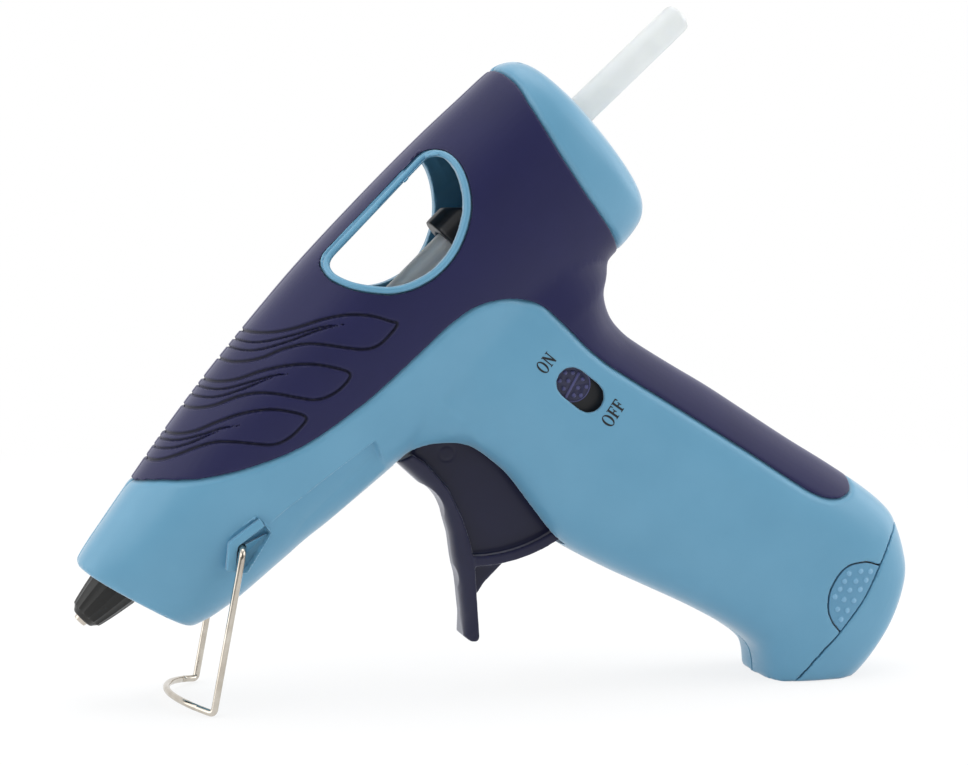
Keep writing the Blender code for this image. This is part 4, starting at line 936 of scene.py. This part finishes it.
# Acetal, moulded: black, self-lubricating, with a soft even shine
black_acetal = moulded("moulded black acetal", "0E0F14", "15161D", 0.38, 0.25, 0.004)
coat_nodes(black_acetal, "stick_guide", "feed_link")


# Feed carriage
# A black block that runs on two rails inside the barrel and carries the jaw that bites the stick. Its
# rounded back shows through the window.

# Where the block steps down behind its front end, along and up
carriage_step = (128.3, 7.3)
carriage_faces = 0.22
step_cutter = 40

carriage = copied("carriage", "feed_carriage")
bpy.ops.mesh.primitive_cube_add(
    size=step_cutter * mm,
    location=at(carriage_step[0], 0, carriage_step[1]) + Vector((0.015, 0, step_cutter / 2 * mm)),
)
carve(carriage, "step", applied())
even_faces(carriage, carriage_faces)
smoothed(carriage, 40)
thinned(carriage, 60000)
shade(carriage)
dress(carriage, black_acetal, "feed_carriage", "black_plastic", "feed_carriage")


# Clamp jaw
# A stamped steel jaw on a pin in the carriage. The link tips it so that its teeth hold the stick.

coat_nodes(spring_steel, "clamp_jaw")


# Trigger
# Moulded in glossy navy nylon: a lever with two finger scoops, a thin web behind it and a thick curved
# rim that closes the casing's slot. It turns on a steel pin.

lever_front = (
    (77.8, -27.1), (78, -32), (78.3, -37.6), (77.2, -43.4), (74.3, -48.6), (71.1, -52.8),
    (67, -58.9), (63.1, -63.8), (59.4, -68), (59.5, -69),
)
lever_round, lever_squeeze = 4.2, 0.75
lever_tip, tip_fade = -70.5, 6
finger_scoops = (((70.0, -38.6), 8.95), ((61.5, -52.2), 8.75))
ejector_mark = (87.6, -34.3)
ejector_radius, ejector_half, ejector_depth = 1.8, 0.4, 0.06
web_half = 2.4

trigger = even_faces(copied("trigger_lever", "trigger"), 0.32)
points, _ = drawn(trigger)
from_front = reach_of(points, lever_front, closed=False) / lever_round
places = places_of(trigger)
squeeze = lever_squeeze * (1 - np.sqrt(1 - (1 - np.clip(from_front, 0, 1)) ** 2))
places[:, 1] *= 1 - squeeze * np.clip((points[:, 1] - lever_tip) / tip_fade, 0, 1)
put_places(trigger, places)
softened(trigger, lever_front[:-3], 2.0, 6, closed=False)
for (along, up), radius in finger_scoops:
    bpy.ops.mesh.primitive_cylinder_add(
        vertices=128, radius=radius * mm, depth=20 * mm, location=at(along, 0, up),
        rotation=(math.radians(90), 0, 0),
    )
    carve(trigger, "scoop", applied())
even_faces(trigger, 0.3)
smoothed(trigger, 2)
points, deep = drawn(trigger)
from_mark = np.abs(np.hypot(*(points - ejector_mark).T) - ejector_radius)
ring = np.clip(1 - (from_mark / ejector_half) ** 2, 0, 1) * (np.abs(np.abs(deep) - web_half) < 0.3)
places = places_of(trigger)
places[:, 1] -= np.sign(places[:, 1]) * ejector_depth * mm * ring
put_places(trigger, places)
thinned(trigger, 120000)
shade(trigger)

# Nylon, moulded in a polished tool: dark navy with long soft highlights
navy_nylon = moulded(
    "glossy navy moulded nylon", "10112F", "161839", 0.34, 0.3, 0.0015, Specular_IOR_Level=0.38,
    Sheen_Weight=0.7, Sheen_Roughness=0.34, Sheen_Tint=(0.9, 0.9, 1.0, 1.0),
)
dress(trigger, navy_nylon, "trigger", "navy_plastic", "trigger")


# Switch
# A slide switch in a black frame behind the casing's wall. Its round navy cap lies in the slot, with a
# bar across it and raised dots for the thumb.

coat_nodes(black_acetal, "switch_body")

cap_place = (118.85, -41.4)
cap_radius = 4.25
cap_back, cap_front = 15.4, 16.6
cap_bar = ((-3.5, -1.05), (3.0, 0.85))
cap_dots = (
    (0.6, 3.2), (1.9, 1.9), (-1.7, 2.8), (-0.2, 1.3), (-2.3, 0.8),
    (2.5, -0.9), (0.3, -1.5), (1.9, -2.8), (-1.7, -2.1), (-0.5, -3.3),
)
cap_rim, cap_dish, dish_depth = 0.14, 0.1, 0.16
bar_width, bar_height, dot_radius, dot_height = 0.6, 0.5, 0.52, 0.34

bpy.ops.mesh.primitive_cylinder_add(
    vertices=96, radius=cap_radius * mm, depth=(cap_front - cap_back) * mm
)
button = bpy.context.object
button.name = button.data.name = "switch_cap"
pick(button, lambda place: place.z > 0)
bpy.ops.object.mode_set(mode="EDIT")
bpy.ops.mesh.inset(thickness=cap_rim * mm, depth=0)
bpy.ops.mesh.inset(thickness=cap_dish * mm, depth=-dish_depth * mm)
bpy.ops.object.mode_set(mode="OBJECT")
relief_top = (cap_front - cap_back) / 2 - dish_depth
(x1, y1), (x2, y2) = cap_bar
bpy.ops.mesh.primitive_cube_add(
    size=1, location=((x1 + x2) / 2 * mm, (y1 + y2) / 2 * mm, relief_top * mm),
    rotation=(0, 0, math.atan2(y2 - y1, x2 - x1)),
    scale=(math.hypot(x2 - x1, y2 - y1) * mm, bar_width * mm, bar_height * mm),
)
relief = finish_with(applied(), "rounded bar", "BEVEL", width=0.12 * mm, segments=3)
dots = []
for x, y in cap_dots:
    bpy.ops.mesh.primitive_uv_sphere_add(
        segments=20, ring_count=12, location=(x * mm, y * mm, relief_top * mm),
        scale=(dot_radius * mm, dot_radius * mm, dot_height * mm), radius=1,
    )
    dots.append(applied())
carve(button, "relief", joined(relief, *dots), "UNION")
finish_with(button, "soft edges", "BEVEL", width=0.04 * mm, segments=2, limit_method="ANGLE")
alone(button)
# The cap's face turns to the left side, with its drawing's up along the barrel's up
button.matrix_world = Matrix.Translation(at(cap_place[0], -(cap_back + cap_front) / 2, cap_place[1])) @ (
    Matrix.Rotation(-barrel_angle, 4, "Y") @ Matrix.Rotation(math.radians(90), 4, "X")
)
applied()
shade(button, 35)

# The cap's ABS: a lighter violet navy than the trigger, satin
navy_abs = moulded("satin navy moulded ABS", "191A3A", "202245", 0.4, 0.25, 0.003, Sheen_Weight=0.2)
dress(button, navy_abs, "switch_button", "navy_plastic", "switch_button")

# The same plastic painted paler on the bar and the dots: a painted highlight where the raised relief
# catches the light
relief_highlight_abs = moulded("navy moulded ABS painted lighter on the relief", "3D3E6C", "464776", 0.35, 0.25, 0.003, Sheen_Weight=0.2)
button.data.materials.append(relief_highlight_abs)
face_plane = (cap_front - dish_depth + 0.02) * mm
# The bar's and the dots' faces take the paler copy, a painted highlight
for face in button.data.polygons:
    face.material_index = int(-face.center.y > face_plane)


# Switch lettering
# ON and OFF, pad-printed in black ink beside the two ends of the slot.

letter_height = 3.2
letter_gap = 0.08
wall_across = 18.6
ink_height, ink_thickness = 0.02, 0.05
# Each letter's outline as shares of its height, drawn with thin serifs
letter_outlines = {
    "N": ((
        (0, 0), (0.25, 0), (0.25, 0.06), (0.17, 0.06), (0.17, 0.74), (0.54, 0), (0.65, 0),
        (0.65, 0.94), (0.73, 0.94), (0.73, 1), (0.48, 1), (0.48, 0.94), (0.56, 0.94), (0.56, 0.33),
        (0.22, 1), (0, 1), (0, 0.94), (0.08, 0.94), (0.08, 0.06), (0, 0.06),
    ),),
    "F": ((
        (0, 0), (0.32, 0), (0.32, 0.06), (0.24, 0.06), (0.24, 0.46), (0.37, 0.46), (0.39, 0.34),
        (0.45, 0.34), (0.45, 0.68), (0.39, 0.68), (0.37, 0.56), (0.24, 0.56), (0.24, 0.91), (0.44, 0.91),
        (0.49, 0.75), (0.55, 0.75), (0.54, 1), (0, 1), (0, 0.94), (0.08, 0.94), (0.08, 0.06),
        (0, 0.06),
    ),),
    "O": tuple(
        tuple(
            (0.32 + wide / 2 * math.cos(turn), 0.5 + tall / 2 * math.sin(turn))
            for turn in np.linspace(0, math.tau, 36, endpoint=False)
        )
        for wide, tall in ((0.68, 1.06), (0.36, 0.92))
    ),
}
letter_widths = {"O": 0.74, "N": 0.80, "F": 0.60}
lettering = (("ON", (115.5, -34.7), (119.9, -34.2)), ("OFF", (117.8, -54.9), (123.9, -53.8)))

places, faces = [], []
for word, start, end in lettering:
    start, end = Vector(start), Vector(end)
    run = (end - start).normalized()
    rise = Vector((-run.y, run.x))
    written = sum(letter_widths[letter] for letter in word) - letter_gap
    pitch = (end - start).length / (written * letter_height)
    pen = 0.0
    for letter in word:
        rings = []
        for outline in letter_outlines[letter]:
            ring = range(len(places), len(places) + len(outline))
            for x, y in outline:
                spot = start + run * ((pen + x) * letter_height * pitch) + rise * (y * letter_height)
                places.append(at(spot.x, -wall_across, spot.y))
            rings.append(ring)
        if len(rings) == 1:
            faces.append(rings[0])
        else:
            for step in range(len(ring)):
                outer, inner = ([ring[step], ring[(step + 1) % len(ring)]] for ring in rings)
                faces.append(outer + inner[::-1])
        pen += letter_widths[letter]
ink_mesh = bpy.data.meshes.new("switch_letters")
ink_mesh.from_pydata(places, [], faces)
letters = placed("switch_letters", ink_mesh)
finish_with(letters, "small faces", "TRIANGULATE")
for vertex in letters.data.vertices:
    spot, normal, _, _ = casing_form.find_nearest(vertex.co)
    vertex.co = spot + normal * ink_height * mm
finish_with(letters, "ink", "SOLIDIFY", thickness=ink_thickness * mm, offset=0)

# Pad-printing ink: black, matt, a little thin so that its edge greys
black_ink = moulded("black pad-printing ink", "0C1014", "171C20", 0.6, 0.15, 0.002, cloud=0.6)
dress(letters, black_ink, "housing", "black_plastic")


# Leads
# Stranded copper in PVC, one red from the cells through the switch to the heater and one black back.

# Extruded PVC: smooth and glossy, with a slight waviness
red_pvc = moulded("red PVC insulation", "8F1212", "A31B1A", 0.35, 0.5, 0.01)
black_pvc = moulded("black PVC insulation", "141414", "1E1E1E", 0.35, 0.5, 0.01)
coat_nodes(red_pvc, "lead_switch_to_heater", "lead_pack_to_switch")
coat_nodes(black_pvc, "lead_pack_to_heater")


# Cells and holder
# Four AA cells in shrink sleeves, two side by side in a black holder that fills the grip.

# Shrink-wrapped PVC: dark green, glossy, faintly rippled by the heat
green_sleeve = moulded("green shrink sleeve", "124A22", "1A5A2C", 0.28, 1.2, 0.02)
coat_nodes(green_sleeve, "cell_1", "cell_2", "cell_3", "cell_4")
coat_nodes(black_acetal, "cell_holder")


# Contact boards and springs
# Plated brass plates riveted in the grip and in the cap, each with coil springs that press on the cells.

# Stamped brass, bright nickel flashed: warm yellow metal with rolling lines
contact_brass = plated("stamped contact brass", "B28A45", "CBA45C", 0.32, 0.15, (0.1, 1.0, 1.0))
coat_nodes(contact_brass, "inner_contact_board", "cap_contact_board")
coat_nodes(
    spring_steel, "inner_contact_spring_2", "inner_contact_spring_3", "cap_contact_spring_1",
    "cap_contact_spring_4",
)


# Grip end cap
# The battery door: the heel of the grip in the same ABS, hooked on at front and back, with a fine dark
# seam all round.

end_cap = even_faces(copied("heel_cap", "grip_end_cap"), 0.4)
eased_over(end_cap, cap_seam, closed=False)
settled(end_cap)
smoothed(end_cap, 2)
thinned(end_cap, 120000)
shade(end_cap)
dress(end_cap, light_blue_abs, "end_cap", "blue_plastic", "grip_end_cap")


# Latch pads
# Two half-round pads, one on each side, that are pressed to let the cap go. Rows of small soft domes keep
# the fingers from slipping.

pad_domes = (
    (134.5, -122.7), (137, -124.5), (138.7, -126.4), (132.4, -123.2), (134.4, -125.3),
    (136.4, -127.1), (130.3, -123.7), (131.8, -125.7), (133.8, -127.6), (128.1, -124.1),
    (129.2, -126.3), (130.8, -128.4), (126.5, -126.8), (128, -128.9), (125.4, -129.3),
)
pad_faces, pad_depth, dome_height, dome_radius = 0.15, 0.08, 0.42, 0.8

# The same ABS with a finer, rougher grain, a shade darker and cooler in colour than the casing's
pad_abs = moulded(
    "fine grained light blue ABS", "5389A9", "5F94B3", 0.5, 0.22, 0.005,
    Sheen_Weight=0.35, Sheen_Roughness=0.35,
)
# The same ABS painted paler on the tops of the domes: a painted highlight where the raised domes catch the
# light
dome_highlight_abs = moulded("light blue ABS painted lighter on the domes", "6A9DBE", "76A8C7", 0.4, 0.22, 0.003, Sheen_Weight=0.35)
for side in ("left", "right"):
    pad = even_faces(copied(f"pad_{side}", f"latch_pad_{side}"), pad_faces)
    eased_over(pad, cap_seam, closed=False)
    eased_over(pad, pad_arc, closed=False)
    outside, outward = settled(pad)
    points, _ = drawn(pad)
    from_dome = np.min([np.hypot(*(points - place).T) for place in pad_domes], 0)
    dome = dome_height * np.clip(1 - (from_dome / dome_radius) ** 2, 0, 1)
    press(pad, outside, outward, pad_depth - dome)
    smoothed(pad, 2)
    thinned(pad, 60000)
    shade(pad)
    dress(pad, pad_abs, f"latch_pad_{side}", "blue_plastic", f"latch_pad_{side}")
    pad.data.materials.append(dome_highlight_abs)
    # The domes' faces take the paler copy, a painted highlight
    on_dome = np.min([np.hypot(*(drawn(pad)[0] - place).T) for place in pad_domes], 0) < dome_radius - 0.1
    for face in pad.data.polygons:
        face.material_index = int(all(on_dome[corner] for corner in face.vertices))


# Wire stand
# One piece of 1.6 mm spring wire, nickel plated, bent to two legs and a bowed foot. Its hooked ends
# spring into holes in the casing's bosses, so it folds up under the barrel.

wire_radius = 0.8
hook_side, leg_side = 15.0, 20.8
foot_forward, foot_bow, foot_lift = -71.3, 8.8, 2.0
wire_bend = 2.2
bow_points = 24


def rounded_path(corners, radius, steps):
    """The points of a path whose corners are rounded as a wire is bent."""
    path = [corners[0]]
    for before, corner, after in zip(corners, corners[1:], corners[2:]):
        room = min(radius, (corner - before).length / 2, (after - corner).length / 2)
        start = corner + (before - corner).normalized() * room
        end = corner + (after - corner).normalized() * room
        for step in range(steps + 1):
            share = step / steps
            path.append(start.lerp(corner, share).lerp(corner.lerp(end, share), share))
    return path + [corners[-1]]


pivot = at(wire_pivot[0], 0, wire_pivot[1]) / mm
near = [
    Vector((pivot.x, -hook_side, pivot.z)), Vector((pivot.x, -leg_side, pivot.z)),
    Vector((foot_forward, -leg_side, wire_radius)),
]
bow_radius = (leg_side**2 + foot_bow**2) / (2 * foot_bow)
bow = []
for step in range(1, bow_points + 1):
    across = leg_side * (1 - 2 * step / (bow_points + 1))
    forward = math.sqrt(bow_radius**2 - across**2) - (bow_radius - foot_bow)
    bow.append(Vector((foot_forward - forward, -across, wire_radius + foot_lift * forward / foot_bow)))
far = [Vector((place.x, -place.y, place.z)) for place in reversed(near)]
first = rounded_path(near + bow[:3], wire_bend, 8)[:-2]
last = rounded_path(bow[-3:] + far, wire_bend, 8)[2:]
wire_path = first + bow[1:-1] + last

stand = tube("stand_wire", [place * mm for place in wire_path], wire_radius, False)
shade(stand, 60)

# Bright nickel on drawn wire: mirror-like, with faint die lines that warm its reflections
nickel_wire = plated("bright nickel plated wire", "A3998B", "DDD7CD", 0.1, 0.5, (1.0, 1.0, 0.06))
dress(stand, nickel_wire, "stand", "plated_wire", "stand_bail")


# Screws
# Six pan-headed self-tapping screws with cross recesses, driven from the right side deep into moulded
# bosses. One is modelled and the rest are copies.

head_radius, head_height = 2.5, 1.6
shank_radius = 1.3
head_round = 0.7
recess_length, recess_width, recess_depth, recess_taper = 2.7, 0.55, 1.8, 0.35

# Zinc-plated steel: grey, half bright, with faint turning marks
zinc_steel = plated("zinc plated steel", "7E8388", "A0A5AA", 0.35, 0.12, (1.0, 0.2, 1.0))

bpy.ops.mesh.primitive_cylinder_add(vertices=48, radius=head_radius * mm, depth=head_height * mm)
screw = bpy.context.object
pick(screw, lambda place: place.z > 0)
bpy.ops.object.mode_set(mode="EDIT")
bpy.ops.mesh.bevel(offset=head_round * mm, segments=5)
bpy.ops.object.mode_set(mode="OBJECT")
for turn_by in (0, 90):
    bpy.ops.mesh.primitive_cube_add(
        size=1, location=(0, 0, head_height / 2 * mm), rotation=(0, 0, math.radians(turn_by)),
        scale=(recess_length * mm, recess_width * mm, recess_depth * mm),
    )
    recess = bpy.context.object
    for vertex in recess.data.vertices:
        if vertex.co.z < 0:
            vertex.co.x *= recess_taper
    carve(screw, "cross recess", applied())
screw_mesh = screw.data
bpy.data.objects.remove(screw)

for number in range(1, 7):
    low, high = (Vector(corner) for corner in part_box(f"screw_{number}"))
    middle = (low + high) / 2
    head = placed(f"casing_screw_{number}", screw_mesh.copy())
    alone(head)
    bpy.ops.object.mode_set(mode="EDIT")
    bpy.ops.mesh.select_all(action="DESELECT")
    bpy.ops.mesh.primitive_cylinder_add(
        vertices=32, radius=shank_radius * mm, depth=high.y - low.y - head_height * mm,
        location=(0, 0, -(high.y - low.y) / 2),
    )
    bpy.ops.object.mode_set(mode="OBJECT")
    spin = Matrix.Rotation(math.radians(17 * number), 4, "Y") @ Matrix.Rotation(math.radians(-90), 4, "X")
    head.matrix_world = Matrix.Translation((middle.x, high.y - head_height / 2 * mm, middle.z)) @ spin
    applied()
    shade(head, 35)
    dress(head, zinc_steel, "housing", "spring_steel", f"screw_{number}")


# Floor and light
# A plain white paper sweep under big soft lights from the front and above, as in a light tent.

bpy.ops.mesh.primitive_plane_add(size=8)
floor = bpy.context.object
floor.name = "floor"
white_paper, tree, spot = material("matt white paper")
paper = add_node(tree, "ShaderNodeBsdfDiffuse", {"Color": clouded(tree, spot, 1.11, "F0F0F0", "F6F6F6")})
glow = add_node(tree, "ShaderNodeEmission", {"Strength": 1.0})
rays = add_node(tree, "ShaderNodeLightPath").outputs
seen = add_node(tree, "ShaderNodeMath", {
    0: rays["Is Camera Ray"], 1: rays["Is Glossy Ray"],
}, operation="MAXIMUM")
seen = add_node(tree, "ShaderNodeMath", {
    0: seen.outputs[0], 1: rays["Is Transmission Ray"],
}, operation="MAXIMUM")
far = add_node(tree, "ShaderNodeVectorMath", {0: spot}, operation="LENGTH")
whiter = add_node(tree, "ShaderNodeMapRange", {
    "Value": far.outputs["Value"], "From Min": 0.12, "From Max": 0.6, "To Min": 0.8, "To Max": 1.0,
})
share = add_node(tree, "ShaderNodeMath", {0: seen.outputs[0], 1: whiter.outputs[0]}, operation="MULTIPLY")
both = add_node(tree, "ShaderNodeMixShader", {0: share.outputs[0], 1: paper.outputs[0], 2: glow.outputs[0]})
add_node(tree, "ShaderNodeOutputMaterial", {"Surface": both.outputs[0]})
floor.data.materials.append(white_paper)

world = bpy.data.worlds.new("light tent")
bpy.context.scene.world = world
world.use_nodes = True
tree = world.node_tree
tree.nodes.clear()
rays = add_node(tree, "ShaderNodeLightPath")
seen = add_node(tree, "ShaderNodeMath", {
    0: rays.outputs["Is Camera Ray"], 1: rays.outputs["Is Transmission Ray"],
}, operation="MAXIMUM")
way = add_node(tree, "ShaderNodeTexCoord").outputs["Generated"]
way = add_node(tree, "ShaderNodeSeparateXYZ", {0: way})
tent = add_node(tree, "ShaderNodeMapRange", {
    "Value": way.outputs[1], "From Min": -0.95, "From Max": -0.35, "To Min": 0.15, "To Max": 1.0,
})
dim = add_node(tree, "ShaderNodeBackground", {"Color": (1, 1, 1, 1), "Strength": tent.outputs[0]})
bright = add_node(tree, "ShaderNodeBackground", {"Color": (1, 1, 1, 1), "Strength": 1.0})
both = add_node(tree, "ShaderNodeMixShader", {0: seen.outputs[0], 1: dim.outputs[0], 2: bright.outputs[0]})
add_node(tree, "ShaderNodeOutputWorld", {"Surface": both.outputs[0]})

for name, place, size, power in (
    ("front_left_light", (-1.1, -0.9, 0.8), 0.7, 3.6),
    ("front_right_light", (1.1, -0.9, 0.8), 0.7, 3.6),
    ("top_light", (0.1, 0.1, 1.3), 1.0, 5.5),
    ("left_light", (-1.2, 0.1, 0.4), 0.8, 2.5),
    ("right_light", (1.2, 0.1, 0.5), 0.8, 4.0),
):
    lamp_data = bpy.data.lights.new(name, "AREA")
    lamp_data.size = size
    lamp_data.energy = power
    lamp = placed(name, lamp_data)
    lamp.location = place
    lamp.rotation_euler = (Vector((0, 0, 0.08)) - Vector(place)).to_track_quat("-Z", "Y").to_euler()

bpy.context.scene.view_settings.view_transform = "Standard"
